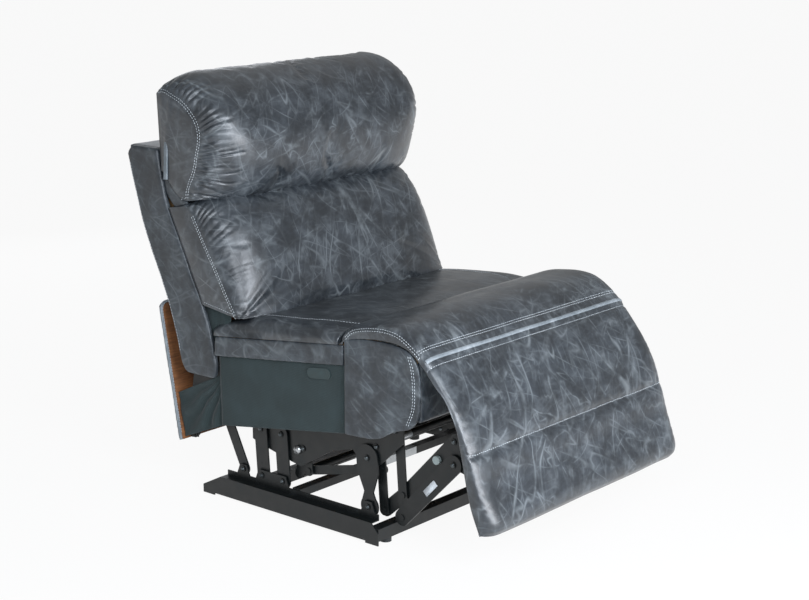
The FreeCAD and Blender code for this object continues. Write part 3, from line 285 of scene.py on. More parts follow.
def swell(form, sewn, settings):
    # Simulates a coarser copy of the cover as cloth blown up from inside, and gives back how far
    # its outer side moved as a function of a and b, in mm. Wrinkles stay whole, while the even
    # bulge is damped so that the outline holds.
    size = swellSizes
    aSteps, bSteps = crossSteps(size["across"]), np.linspace(0, 1, size["along"] + 1)
    box = SoftBox("swelling", aSteps, bSteps, np.linspace(0, 1, size["deep"] + 1), form)
    piece = box.piece
    rest, out = coordinates(piece.data), normalsOf(piece.data)
    group = piece.vertex_groups.new(name="held")
    for number, weight in enumerate(sewn(box.a, box.b, box.c)):
        if weight > 0.01:
            group.add([number], float(min(weight, 1)), "REPLACE")
    cloth = piece.modifiers.new("swell", "CLOTH")
    for key, value in coverCloth.items():
        setattr(cloth.settings, key, value)
    cloth.settings.bending_stiffness = settings["bending"]
    cloth.settings.uniform_pressure_force = settings["pressure"]
    cloth.settings.vertex_group_mass = "held"
    cloth.settings.effector_weights.gravity = 0
    cloth.settings.shrink_min = settings["shrink"]
    cloth.collision_settings.use_collision = False
    scene = bpy.context.scene
    for step in range(1, size["frames"] + 1):
        scene.frame_set(step)
    moved = coordinates(piece.evaluated_get(bpy.context.evaluated_depsgraph_get()).data)
    scene.frame_set(1)
    travel = ((moved - rest) * out).sum(axis=1) / mm
    travel = np.clip(travel, -settings["cap"], settings["cap"])
    columns = np.searchsorted(aSteps, box.a - 1e-9)
    lines = np.rint(box.b * size["along"]).astype(int)
    grid = np.zeros((len(aSteps), len(bSteps)))
    face = box.c > 0.999
    grid[columns[face], lines[face]] = travel[face]
    even = grid.copy()
    for axis in (0, 1):
        for _ in range(size["blur"]):
            even = (np.roll(even, 1, axis) + even * 2 + np.roll(even, -1, axis)) / 4
    print(f"{piece.name}: wrinkles up to {np.abs(grid - even).max():.1f} mm, bulge up to {even.max():.1f} mm")
    grid = grid - even * (1 - size["bulge"])
    bpy.data.objects.remove(piece)

    def read(a, b):
        i = np.clip(np.interp(a, aSteps, np.arange(len(aSteps))), 0, len(aSteps) - 1.001)
        j = np.clip(b * size["along"], 0, size["along"] - 0.001)
        i0, j0 = i.astype(int), j.astype(int)
        i, j = i - i0, j - j0
        return ((grid[i0, j0] * (1 - i) + grid[i0 + 1, j0] * i) * (1 - j)
                + (grid[i0, j0 + 1] * (1 - i) + grid[i0 + 1, j0 + 1] * i) * j)
    return read


def noiseAt(points, size, seed=0.0):
    # one smooth random value from about -1 to 1 for each point in metres; size is in mm
    scale = 1 / (size * mm)
    shift = Vector((seed * 3.1, seed * 1.7, seed * 2.3))
    return np.array([noise.noise(Vector(p) * scale + shift) for p in points])


def gathers(run, depth, seed, pitch, reach):
    # sewn-in fullness: folds that start square to a seam, wander and die out, each at its own
    # length; run is along the seam in mm and depth is away from it. 0 is a ridge, -1 a valley.
    out = np.zeros(len(run))
    for i in np.nonzero(depth < reach * 2.2)[0]:
        s, d = run[i], depth[i]
        bend = noise.noise((s / 70, d / 60, seed)) * min(d, 60) * 0.35
        fold = (s + bend) / pitch + 0.9 * noise.noise((s / 37, 0.3, seed + 5.1))
        near = round(fold)
        length = reach * (0.55 + 0.9 * abs(noise.noise((near * 3.77, 0.5, seed + 2.3))) * 2)
        out[i] = -(1 - abs(fold - near) * 2) ** 1.5 * math.exp(-(d / length) ** 2)
    return out * smoothStep(-1, 6, depth)


# ---------- materials ----------

def linear(code):
    # an sRGB hex colour as linear values
    values = [int(code[i:i + 2], 16) / 255 for i in (1, 3, 5)]
    return [v / 12.92 if v <= 0.04045 else ((v + 0.055) / 1.055) ** 2.4 for v in values] + [1.0]


def addNode(owner, kind, settings=None, links=None):
    # settings and links name properties or input sockets; a value that is a socket is linked
    tree = getattr(owner, "node_tree", owner)
    node = tree.nodes.new(kind)
    for key, value in {**(settings or {}), **(links or {})}.items():
        if isinstance(value, bpy.types.NodeSocket):
            tree.links.new(value, node.inputs[key])
        elif isinstance(key, str) and hasattr(node, key):
            setattr(node, key, value)
        else:
            node.inputs[key].default_value = value
    return node


def emptied(owner):
    owner.use_nodes = True
    owner.node_tree.nodes.clear()
    return owner


def newMaterial(name):
    # an empty material, and the place on the piece that its patterns are drawn from
    material = emptied(bpy.data.materials.new(name))
    return material, addNode(material, "ShaderNodeTexCoord").outputs["Object"]


def shade(material, settings):
    shader = addNode(material, "ShaderNodeBsdfPrincipled", settings)
    addNode(material, "ShaderNodeOutputMaterial", {"Surface": shader.outputs[0]})
    return material


def mixColours(material, factor, dark, light):
    return addNode(material, "ShaderNodeMix", {
        "data_type": "RGBA", 0: factor, 6: dark, 7: light}).outputs[2]


def remap(material, source, fromLow, fromHigh, toLow=0.0, toHigh=1.0, smooth=True):
    return addNode(material, "ShaderNodeMapRange", {
        "interpolation_type": "SMOOTHSTEP" if smooth else "LINEAR", "From Min": fromLow,
        "From Max": fromHigh, "To Min": toLow, "To Max": toHigh, "Value": source}).outputs[0]


def combine(material, operation, first, second):
    return addNode(material, "ShaderNodeMath", {"operation": operation, 0: first, 1: second}).outputs[0]


def weighted(material, *parts):
    # the sum of some values, each times its share
    total = None
    for value, share in reversed(parts):
        part = combine(material, "MULTIPLY", value, share)
        total = part if total is None else combine(material, "ADD", part, total)
    return total


def cloudNoise(material, where, size, detail, roughness=0.5):
    # noise with patches of this size in mm
    return addNode(material, "ShaderNodeTexNoise", {
        "Scale": 1000 / size, "Detail": detail, "Roughness": roughness, "Vector": where}).outputs["Fac"]


def addBump(material, height, strength, depth, under=None):
    # depth in mm, laid over another bump where one is given
    normal = {} if under is None else {"Normal": under}
    return addNode(material, "ShaderNodeBump", {
        "Strength": strength, "Distance": depth * mm, "Height": height, **normal}).outputs[0]


def wisps(material, where, size, stretch, turn, width, mask):
    # soft hair-like marks: thin sheets of one value in a noise that is drawn out two ways, so that
    # they cross any surface as long, nearly straight lines
    drawnOut = addNode(material, "ShaderNodeMapping", {
        "vector_type": "TEXTURE", "Rotation": turn, "Scale": (size, size * stretch, size * stretch)},
        {"Vector": where}).outputs[0]
    cloud = addNode(material, "ShaderNodeTexNoise", {
        "Scale": 1.0, "Detail": 1.2, "Roughness": 0.4, "Distortion": 0.25,
        "Vector": drawnOut}).outputs["Fac"]
    gap = combine(material, "ABSOLUTE", combine(material, "SUBTRACT", cloud, 0.5), 0.0)
    return combine(material, "MULTIPLY", remap(material, gap, 0.0, width, 1.0, 0.0, smooth=False), mask)


# layers of marks: size in m, length to width, turn, width, strength, and where they show
pullUpMarks = (
    (0.07, 4.5, (0.4, 0.55, 0.3), 0.015, 1.0, "faint"), (0.062, 5.0, (1.9, -0.5, -0.4), 0.016, 0.9, "strong"),
    (0.05, 4.0, (2.7, 1.05, 0.8), 0.019, 0.8, "strong"), (0.044, 4.4, (0.9, -0.95, 0.5), 0.022, 0.7, "faint"),
    (0.036, 4.0, (3.6, 0.1, -0.7), 0.028, 0.6, "strong"), (0.03, 4.4, (5.1, 0.3, 0.2), 0.034, 0.45, "faint"),
    (0.022, 5.0, (4.4, 1.4, -0.2), 0.045, 0.35, "strong"))
hidePatches = {"shades": 120, "rubbed": 45, "mottling": 14, "pores": 2.2}   # in mm


def distressedLeather(name, dark, base, mark, look):
    # Corrected-grain cowhide with a rubbed wax finish: charcoal ground with cloudy patches, and
    # pale pull-up marks where the wax has been stretched. A thin top coat gives the satin shine.
    material, where = newMaterial(name)
    hide, rubbed, mottle = [cloudNoise(material, where, hidePatches[key], 4.0, 0.6)
                            for key in ("shades", "rubbed", "mottling")]
    masks = {"strong": remap(material, rubbed, 0.4, 0.68, 0.12, 1.0),
             "faint": remap(material, hide, 0.42, 0.66, 0.12, 1.0)}
    marks = remap(material, rubbed, 0.48, 0.8, 0.0, 0.35)
    for size, stretch, turn, width, share, mask in pullUpMarks:
        layer = wisps(material, where, size, stretch, turn, width, masks[mask])
        marks = combine(material, "MAXIMUM", marks, combine(material, "MULTIPLY", layer, share))
    tone = weighted(material, (hide, 0.45), (rubbed, 0.35), (mottle, 0.2))
    ground = mixColours(material, remap(material, tone, 0.38, 0.62), linear(dark), linear(base))
    colour = mixColours(material, combine(material, "MULTIPLY", marks, look["marks"]), ground, linear(mark))
    pores = addNode(material, "ShaderNodeTexVoronoi", {
        "Scale": 1000 / hidePatches["pores"], "Randomness": 1.0, "Vector": where}).outputs["Distance"]
    rough = combine(material, "ADD", remap(material, rubbed, 0.3, 0.7, look["rough"] - 0.05,
                                           look["rough"] + 0.06), combine(material, "MULTIPLY", marks, 0.08))
    height = combine(material, "SUBTRACT", combine(material, "MULTIPLY", mottle, 0.8),
                     combine(material, "MULTIPLY", marks, 0.5))
    return shade(material, {
        "IOR": 1.5, "Specular IOR Level": look["specular"], "Coat Weight": look["coat"],
        "Coat Roughness": 0.3, "Base Color": colour, "Roughness": rough,
        "Normal": addBump(material, height, 0.3, 0.6, addBump(material, pores, 0.2, 0.4))})


def wovenCloth(name, dark, light, thread, sheen):
    # Non-woven or plain-weave upholsterer's cloth: dull, with a fine cross-hatch.
    material, where = newMaterial(name)
    waves = [addNode(material, "ShaderNodeTexWave", {
        "bands_direction": axis, "Scale": 0.314 / thread, "Distortion": 0.4, "Detail": 1.0,
        "Vector": where}).outputs["Fac"] for axis in ("Y", "Z")]
    weave = combine(material, "MULTIPLY", waves[0], waves[1])
    tone = weighted(material, (weave, 0.35), (cloudNoise(material, where, 1000 / 14, 4.0), 0.65))
    colour = mixColours(material, remap(material, tone, 0.25, 0.7), linear(dark), linear(light))
    return shade(material, {"Roughness": 0.9, "Sheen Weight": sheen, "Sheen Roughness": 0.5,
                            "Base Color": colour, "Normal": addBump(material, weave, 0.25, 0.4)})


def coatedSteel(name, colour, worn, rough, metallic=0.0):
    # Coated, plated or moulded surfaces: faint orange peel and slightly rubbed patches.
    material, where = newMaterial(name)
    peel = cloudNoise(material, where, 2.5, 2.0)
    rub = cloudNoise(material, where, 30, 6.0, 0.65)
    tone = mixColours(material, remap(material, rub, 0.5, 0.75), linear(colour), linear(worn))
    return shade(material, {"Metallic": metallic, "Base Color": tone,
                            "Roughness": remap(material, rub, 0.3, 0.75, rough, rough + 0.18),
                            "Normal": addBump(material, peel, 0.12, 0.2)})


def sawnBoard(name, dark, light):
    # Raw hardboard and plywood: brown, dull, with long soft fibres along its length.
    material, where = newMaterial(name)
    long = addNode(material, "ShaderNodeMapping", {"Scale": (0.12, 1.0, 1.0), "Vector": where}).outputs[0]
    fibre = cloudNoise(material, long, 4, 5.0, 0.6)
    tone = weighted(material, (fibre, 0.5), (cloudNoise(material, where, 80, 3.0), 0.5))
    colour = mixColours(material, remap(material, tone, 0.32, 0.68), linear(dark), linear(light))
    return shade(material, {"Roughness": 0.78, "Base Color": colour,
                            "Normal": addBump(material, fibre, 0.2, 0.4)})


leather = distressedLeather("waxed_charcoal_cowhide", "#1b2025", "#363c42", "#8e9598",
                            {"specular": 0.6, "coat": 0.45, "marks": 0.5, "rough": 0.4})
sideLeather = distressedLeather("rubbed_charcoal_cowhide", "#24292e", "#3f464c", "#8e9598",
                                {"specular": 0.5, "coat": 0.15, "marks": 0.45, "rough": 0.45})
paleStrip = distressedLeather("pale_grey_welt_leather", "#6f777c", "#8c9398", "#b0b6ba",
                              {"specular": 0.3, "coat": 0.05, "marks": 0.5, "rough": 0.5})
cambric = wovenCloth("dark_green_grey_cambric", "#253131", "#314042", 0.004, 0.12)
thread = wovenCloth("waxed_pale_polyester_thread", "#a9b0b4", "#d3d8da", 0.0012, 0.2)
blackSteel = coatedSteel("semi_gloss_black_powder_coat", "#0a0f10", "#141b1d", 0.36)
zincSteel = coatedSteel("bright_zinc_plate", "#b9bdc0", "#8f9599", 0.28, 1.0)
rivetSteel = coatedSteel("dark_zinc_rivet_steel", "#5a6063", "#2c3235", 0.34, 1.0)
greyPlastic = coatedSteel("moulded_grey_nylon", "#9aa5a3", "#87918f", 0.45)
blackPlastic = coatedSteel("moulded_black_polypropylene", "#1b1f20", "#262b2c", 0.5)
insetPlastic = coatedSteel("moulded_green_grey_nylon", "#2b3a3b", "#37484a", 0.4)
hardboard = sawnBoard("raw_brown_hardboard", "#5f3a20", "#97633a")
plywood = sawnBoard("sawn_poplar_plywood", "#8a6a45", "#bb9a6c")
paper = coatedSteel("blank_white_paper_label", "#d9dde0", "#ccd1d4", 0.6)


def dress(piece, material):
    piece.data.materials.clear()
    piece.data.materials.append(material)
    for face in piece.data.polygons:
        face.material_index = 0
    return piece


def dressNodes(material, *names):
    for name in names:
        dress(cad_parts[name], material)


# ---------- padded cushions ----------

rows = {}   # stitch rows in metres, by the body that they ride on


def sew(body, points):
    rows.setdefault(body, []).append(np.asarray(points))


def hug(piece, points, lift=0.35):
    # moves a row of points onto the piece's surface, a little proud of it
    tree = BVHTree.FromPolygons([v.co for v in piece.data.vertices],
                                [list(f.vertices) for f in piece.data.polygons])
    out = []
    for point in points:
        spot, normal = tree.find_nearest(Vector(point))[:2]
        out.append(spot + normal * lift * mm)
    return np.array(out)


def inwardOf(line, shares, inset):
    # a line beside the given one, this far to its left, in the side view
    ahead = line.at(np.minimum(shares + 0.004, 1)) - line.at(np.maximum(shares - 0.004, 0))
    ahead /= np.linalg.norm(ahead, axis=1)[:, None]
    return line.at(shares) + np.stack([-ahead[:, 1], ahead[:, 0]], 1) * inset


def seamRows(piece, seam, shares, sign, beside):
    # stitch rows along one side's seam, each at its inset and its distance across, in mm
    return [hug(piece, sideRow(sign * across, inwardOf(seam, shares, inset))) for inset, across in beside]


def cushionForm(seam, crown, inner, half, reach, bulge=0.0, power=2.0):
    # the outer side rises from the seam line at the sides to the crown line in the middle
    def form(a, b, c):
        fromSeam = (1 - np.abs(a)) * half
        over = reach(b) if callable(reach) else reach
        lift = (1 - (1 - np.clip(fromSeam / over, 0, 1)) ** power) ** (1 / power)
        outer = seam.at(b) + (crown.at(b) - seam.at(b)) * lift[:, None]
        profile = inner.at(b) + (outer - inner.at(b)) * np.asarray(c)[:, None]
        swellOut = bulge * np.sin(np.pi * np.clip(c, 0, 1)) * np.sin(np.pi * np.clip(b, 0, 1))
        across = a * (half + swellOut * (np.abs(a) > 0.999))
        return across, profile[:, 0], profile[:, 1]
    return form


def crossSteps(count, curve=0.36):
    t = np.linspace(-1, 1, count + 1)
    return t * (1 + curve - curve * t * t)


headrestSizes = {"halfWidth": 386, "reach": 88, "rollReach": 90, "gather": 4.8, "gatherPitch": 15,
                 "gatherReach": 36}


def makeHeadrest():
    size = headrestSizes
    half = size["halfWidth"]
    seam = Line([(-689, 1008), (-678, 1016), (-660, 1017), (-637, 1009), (-598, 993), (-571, 972),
                 (-552, 950), (-543, 926), (-543, 898), (-550, 870), (-557, 842), (-566, 818),
                 (-578, 797), (-587, 775), (-590, 757),
                 (-604, 752), (-626, 764), (-650, 790), (-667, 814)])
    crown = Line([(-690, 1014), (-684, 1036), (-666, 1051), (-640, 1059), (-598, 1056), (-552, 1038),
                  (-510, 1008), (-479, 967), (-461, 920), (-456, 872), (-460, 824), (-476, 780),
                  (-506, 756), (-545, 752),
                  (-588, 746), (-610, 738), (-632, 734), (-655, 744), (-669, 768)])
    inner = Line([(-689, 1006), (-680, 818)])

    def reach(b):
        # the lower roll flattens out towards its ends
        return size["reach"] + size["rollReach"] * bump(b, 0.62, 0.13)

    form = cushionForm(seam, crown, inner, half, reach, 3)
    box = SoftBox("headrestCushion", crossSteps(200), denseSteps(330), np.linspace(0, 1, 13), form)
    fromSeam = (1 - np.abs(box.a)) * half
    outside = smoothStep(0.97, 1.0, box.c)
    cap = (np.abs(box.a) > 0.999) * np.sin(np.pi * np.clip(box.c, 0, 1))

    def sewn(a, b, c):
        edge = np.maximum((np.abs(a) > 0.996) * 1.0, (c < 0.98) * 1.0)
        return np.maximum(edge, smoothStep(0.72, 0.8, b) * 0.9)

    fullness = swell(form, sewn, {"bending": 0.5, "pressure": 4.0, "shrink": -0.02, "cap": 24})
    # the folds crowd together where the seam turns in under the roll
    run = box.b * seam.length + 900 * (box.a > 0) + 80 * smoothStep(0.5, 0.68, box.b)
    relief = outside * size["gather"] * gathers(run, fromSeam, 2.0, size["gatherPitch"], size["gatherReach"])
    relief *= 0.85 + 0.4 * bump(box.b, 0.62, 0.2)
    relief += outside * fullness(box.a, box.b)
    relief += outside * noiseAt(coordinates(box.piece.data), 120, 4) * 2.2
    # drape folds of the side panel run up from where the tab is sewn in
    forward, up = box.form(box.a, box.b, box.c)[1:]
    for lean, strength in ((-0.12, 3.0), (0.16, 3.6), (0.5, 2.6)):
        line = -656 + (up - 885) * lean
        relief += cap * strength * np.exp(-((forward - line) / 7) ** 2) * smoothStep(850, 900, up) \
            * (1 - smoothStep(960, 1010, up))
    box.push(relief)
    piece = tidyMesh(box.piece)
    shares = np.linspace(0.02, 0.82, 320)
    lines = []
    for sign in (1, -1):
        lines += seamRows(piece, seam, shares, sign, ((0, half - 4.5), (-5, half + 2)))
    crease = np.linspace(-78, 22, 60)
    lines.append(hug(piece, toFrame(crease, np.full(60, -545.0), np.full(60, 790.0))))
    dress(piece, leather)
    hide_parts("headrest_cushion")
    tabs = []
    outline = [(-650, 892), (-662, 892), (-668, 798), (-656, 798)]
    for sign in (1, -1):
        tabs.append(slab("tab", outline, *sorted((sign * half, sign * (half + 6))),
                         {"voxel": 1.6, "soften": 3, "noise": 30, "depth": 0.6, "seed": 8}))
    tab = dress(joined("headrestTabs", tabs), paleStrip)
    return [piece, tab], lines


backSizes = {"halfWidth": 387, "reach": 124, "gather": 3.4, "gatherPitch": 15, "gatherReach": 32}


def makeBackCushion():
    size = backSizes
    half = size["halfWidth"]
    seam = Line([(-598, 738), (-581, 731), (-571, 718), (-550, 684), (-523, 640), (-497, 599), (-474, 560),
                 (-451, 522), (-427, 484)])
    crown = Line([(-602, 748), (-575, 766), (-540, 773), (-500, 760), (-460, 718), (-431, 664), (-409, 610),
                  (-392, 560), (-379, 515), (-373, 483)])
    inner = Line([(-656, 729), (-579, 568), (-547, 500)])
    form = cushionForm(seam, crown, inner, half, size["reach"], 4)
    box = SoftBox("backCushion", crossSteps(190), denseSteps(190, ends=1.0), np.linspace(0, 1, 11), form)
    fromSeam = (1 - np.abs(box.a)) * half
    outside = smoothStep(0.97, 1.0, box.c)

    def sewn(a, b, c):
        return np.maximum((np.abs(a) > 0.996) * 1.0, (c < 0.98) * 1.0)

    fullness = swell(form, sewn, {"bending": 0.6, "pressure": 4.0, "shrink": -0.008, "cap": 24})
    relief = outside * size["gather"] * gathers(box.b * seam.length + 900 * (box.a > 0), fromSeam, 5.0,
                                                size["gatherPitch"], size["gatherReach"])
    relief *= 0.22 + 0.9 * (1 - smoothStep(0.2, 0.6, box.b)) + 0.35 * smoothStep(0.8, 1.0, box.b)
    relief += 0.8 * outside * fullness(box.a, box.b)
    relief += outside * noiseAt(coordinates(box.piece.data), 140, 9) * 2.4
    box.push(relief)
    piece = tidyMesh(box.piece)
    shares = np.linspace(0.12, 1, 200)
    lines = []
    hem = np.stack([np.linspace(-434, -536, 60), np.linspace(492, 507, 60)], 1)
    for sign in (1, -1):
        lines += seamRows(piece, seam, shares, sign, ((0, half - 4.5), (-5, half + 3)))
        lines.append(hug(piece, sideRow(sign * (half + 3.0), hem)))
    dress(piece, leather)
    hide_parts("back_cushion")
    return [piece], lines


seatSizes = {"halfWidth": 388, "reach": 52}


def makeSeatCushion():
    size = seatSizes
    seam = Line([(-506, 430), (-400, 441), (-300, 453), (-200, 465), (-96.5, 477)])
    crown = Line([(-507, 455), (-430, 482), (-350, 496), (-250, 505), (-170, 509), (-96.5, 505)])
    inner = Line([(-506, 428), (-96.5, 476)], straight=True)
    box = SoftBox("seatCushion", crossSteps(150), denseSteps(90), np.linspace(0, 1, 5),
                  cushionForm(seam, crown, inner, size["halfWidth"], size["reach"], 0, 2.4))
    top = smoothStep(0.6, 1.0, box.c)
    arc = arcSeam()
    across, forward = box.form(box.a, box.b, box.c)[:2]
    gap = np.min(np.hypot(forward[:, None] - arc[None, :, 0],
                          np.abs(across)[:, None] - arc[None, :, 1]), axis=1)
    relief = -1.6 * top * np.exp(-(gap / 5) ** 2)
    relief += top * noiseAt(coordinates(box.piece.data), 110, 15) * 2.0
    # shallow stretch lines run forward from under the back cushion
    relief += top * 1.1 * gathers(across + 1000, (forward + 500) * 0.35, 8.0, 30, 60)
    box.push(relief)
    piece = tidyMesh(box.piece)
    for sign in (1, -1):
        fine = Line(arc).at(np.linspace(0, 1, 120))
        points = toFrame(sign * fine[:, 1], fine[:, 0], np.full(len(fine), 500.0))
        sew("seat", hug(piece, points))
    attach(dress(piece, leather), "seat")
    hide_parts("seat_cushion")
    return piece


def arcSeam():
    # forward and across, where the seat's middle panel meets its side panels
    return Line([(-430, 330), (-330, 338), (-230, 334), (-150, 315), (-99, 285)]).at(np.linspace(0, 1, 40))


padSizes = {"halfWidth": 389, "reach": 48, "rollIn": 8, "stripeAt": (148, 507), "seamAt": (294, 286),
            "gather": 1.5, "stripe": 9}


def makeChaisePad():
    size = padSizes
    half = size["halfWidth"]
    seam = Line([(-79, 480), (-75, 493), (-52, 515), (-14, 527), (30, 533), (58, 533), (85, 529),
                 (110, 518), (135, 502), (150, 491), (184, 458), (215, 425), (241, 392), (260, 360),
                 (275, 333), (288, 301), (297, 277), (309, 239), (323, 191), (331, 148), (333, 125),
                 (326, 112)])
    crown = Line([(-94, 492), (-86, 508), (-66, 524), (-34, 536), (0, 541), (40, 545), (80, 543),
                  (112, 532), (140, 514), (168, 490), (202, 456), (234, 415), (261, 375), (279, 335),
                  (298, 285), (316, 232), (337, 185), (353, 148), (354, 126), (342, 110)])
    # below the stripe the cover rolls further in before it meets its side seam
    along = np.linspace(0, 1, 90)
    seam = Line(inwardOf(seam, along, -size["rollIn"] * smoothStep(0.34, 0.5, along)[:, None]))
    inner = Line([(-92, 478), (-60, 494), (0, 505), (50, 508), (95, 505), (128, 492), (160, 466),
                  (195, 428), (226, 400), (254, 344), (270, 280), (294, 180), (322, 112)])
    stripe = crown.shareNear(size["stripeAt"])
    bend = crown.shareNear(size["seamAt"])
    bSteps = denseSteps(240, (stripe, stripe + 0.035, stripe + 0.056, bend), 0.012, 3.0, 1.0)
    box = SoftBox("chaisePad", crossSteps(150, 0.42), bSteps, np.linspace(0, 1, 8),
                  cushionForm(seam, crown, inner, half, size["reach"], 1.5, 2.2))
    fromSeam = (1 - np.abs(box.a)) * half
    outside = smoothStep(0.97, 1.0, box.c)
    run = box.b * crown.length
    at = {"first": stripe * crown.length, "bend": bend * crown.length}
    relief = -1.2 * bump(run, at["first"], 3) - 1.2 * bump(run, at["first"] + 6, 3)
    relief += -1.6 * bump(run, at["first"] + 49, 4) + 1.6 * bump(run, at["first"] + 31, 9)
    fold = -5.5 * bump(run, at["bend"], 9) + 3.0 * bump(run, at["bend"] + 34, 30) \
        + 2.0 * bump(run, at["bend"] - 50, 45)
    relief += fold * (0.35 + 0.65 * smoothStep(0, 60, fromSeam))
    wave = gathers(box.a * half + 2000, np.abs(at["bend"] - run), 21.0, 34, 60)
    relief += size["gather"] * wave * (run < at["bend"])
    relief += 1.0 * gathers(run + 4000 * (box.a > 0), fromSeam, 31.0, 26, 30) * smoothStep(0.5, 0.6, box.b)
    relief = outside * (relief + noiseAt(coordinates(box.piece.data), 130, 23) * 1.8)
    box.push(relief)
    piece = tidyMesh(box.piece)
    lines = []
    across = np.linspace(-0.985, 0.985, 330)
    for shift in (0, 6, 49):
        lines.append(hug(piece, box.onFace(across, np.full(330, stripe + shift / crown.length))))
    lines.append(hug(piece, box.onFace(across, np.full(330, bend - 2.5 / crown.length))))
    shares = np.linspace(0.03, seam.shareNear((152, 489)), 200)
    for sign in (1, -1):
        lines += seamRows(piece, seam, shares, sign, ((0, half - 4.0), (-4.5, half + 2)))
    dress(piece, leather)
    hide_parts("chaise_pad", "chaise_bridge", "footrest_pad")
    strip = makeStripe(piece, box, (at["first"] + 31) / crown.length, size["stripe"] / crown.length)
    return piece, strip, lines


def makeStripe(piece, box, share, breadth):
    # pale welt laid across the pad between the two stitch rows
    across = np.linspace(-0.992, 0.992, 220)
    grid = []
    for offset in (-0.5, -0.3, 0, 0.3, 0.5):
        lift = 0.2 + 1.3 * (1 - (offset * 2) ** 2)
        grid.append(hug(piece, box.onFace(across, np.full(220, share + offset * breadth)), lift))
    vertices = np.concatenate(grid)
    faces = []
    for j in range(len(grid) - 1):
        for i in range(219):
            first = j * 220 + i
            faces.append([first, first + 1, first + 221, first + 220])
    strip = newMesh("chaiseStripe", vertices, faces)
    return tidyMesh(dress(strip, paleStrip), turnOut=False)


# ---------- rounded boards and panels ----------

def slab(name, outline, low, high, look):
    # the side outline as a board between two distances across, with softened edges, in mm
    points = np.array(outline, float)
    vertices = np.concatenate([sideRow(across, points) for across in (low, high)])
    prism = tidyMesh(newMesh(name, vertices, prismFaces(len(points))))
    piece = evenMesh(prism, look["voxel"], look["soften"])
    mesh = piece.data
    points = coordinates(mesh)
    relief = noiseAt(points, look["noise"], look["seed"]) * look["depth"]
    setCoordinates(mesh, points + normalsOf(mesh) * (relief * mm)[:, None])
    smoothFaces(piece)
    return piece


def joined(name, pieces):
    work = bmesh.new()
    for piece in pieces:
        work.from_mesh(piece.data)
        mesh = piece.data
        bpy.data.objects.remove(piece)
        bpy.data.meshes.remove(mesh)
    out = newMesh(name, [], [])
    work.to_mesh(out.data)
    work.free()
    smoothFaces(out)
    return out


wingLook = {"voxel": 3.5, "soften": 20, "noise": 70, "depth": 0.9, "seed": 3}
wingAcross = {"wing": (373, 389.5), "gusset": (370, 382), "back": 380, "stitches": 391.0,
              "rearStitches": 366.0}


def bothSides(name, outline, span, look):
    # the same board on the sitter's right and left, between two distances across
    return [slab(name, outline, *sorted(sign * across for across in span), look) for sign in (1, -1)]


def makeBackShell():
    # two padded wings and the outside back, which wraps over the top
    front = Line([(-502, 352), (-512, 395), (-524, 441), (-550, 506), (-582, 568), (-622, 652), (-662, 733),
                  (-680, 800), (-690, 850)]).at(np.linspace(0, 1, 40))
    rear = Line([(-803, 852), (-778, 760), (-751, 672), (-709, 578), (-668, 485), (-642, 405),
                 (-628, 345)]).at(np.linspace(0, 1, 40))
    toe = roundCorners([(-628, 345), (-612, 316), (-506, 316), (-502, 352)], [4, 48, 48, 4], 12)
    top = roundCorners([(-690, 850), (-692, 873), (-788, 873), (-803, 852)], [3, 10, 14, 8])
    outline = list(front) + top + list(rear) + toe
    wings = bothSides("wing", outline, wingAcross["wing"], wingLook)
    gusset = [(-693, 868), (-664, 866), (-656, 812), (-628, 776), (-596, 744), (-640, 724), (-672, 760)]
    wings += bothSides("gusset", gusset, wingAcross["gusset"], wingLook)
    piece = dress(joined("backWings", wings), sideLeather)
    outer = rear[:33]
    inner = outer + np.array([12.0, 2.0])
    half = wingAcross["back"]
    wall = slab("backOutside", np.vstack([outer, inner[::-1]]), -half, half,
                {"voxel": 5, "soften": 4, "noise": 160, "depth": 2.0, "seed": 6})
    railEnd = roundCorners([(-690, 872.5), (-800, 872.5), (-798, 858), (-692, 858)], 5)
    cap = slab("topRail", railEnd, -half, half,
               {"voxel": 5, "soften": 3, "noise": 90, "depth": 1.0, "seed": 8})
    back = dress(joined("backOutside", [wall, cap]), sideLeather)
    for part in (piece, back):
        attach(part, "back")
        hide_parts("back_shell")
    for sign in (1, -1):
        sew("back", hug(piece, sideRow(sign * wingAcross["stitches"], rear[2:-2] + np.array([6.0, 0.5]))))
        sew("back", hug(back, sideRow(sign * wingAcross["rearStitches"], outer - np.array([2.0, 0.0]))))


bandSizes = {"low": 379, "pitch": 6.9, "rear": -486, "height": 50}


def bandEdge(forward, above=0):
    slope = math.tan(math.radians(bandSizes["pitch"]))
    return bandSizes["low"] + slope * (forward - bandSizes["rear"]) + above


sideLook = {"voxel": 3, "soften": 14, "noise": 60, "depth": 0.8, "seed": 12}
panelAcross = {"band": (379.2, 390), "panel": (379.2, 390.5), "stitches": 392.0}


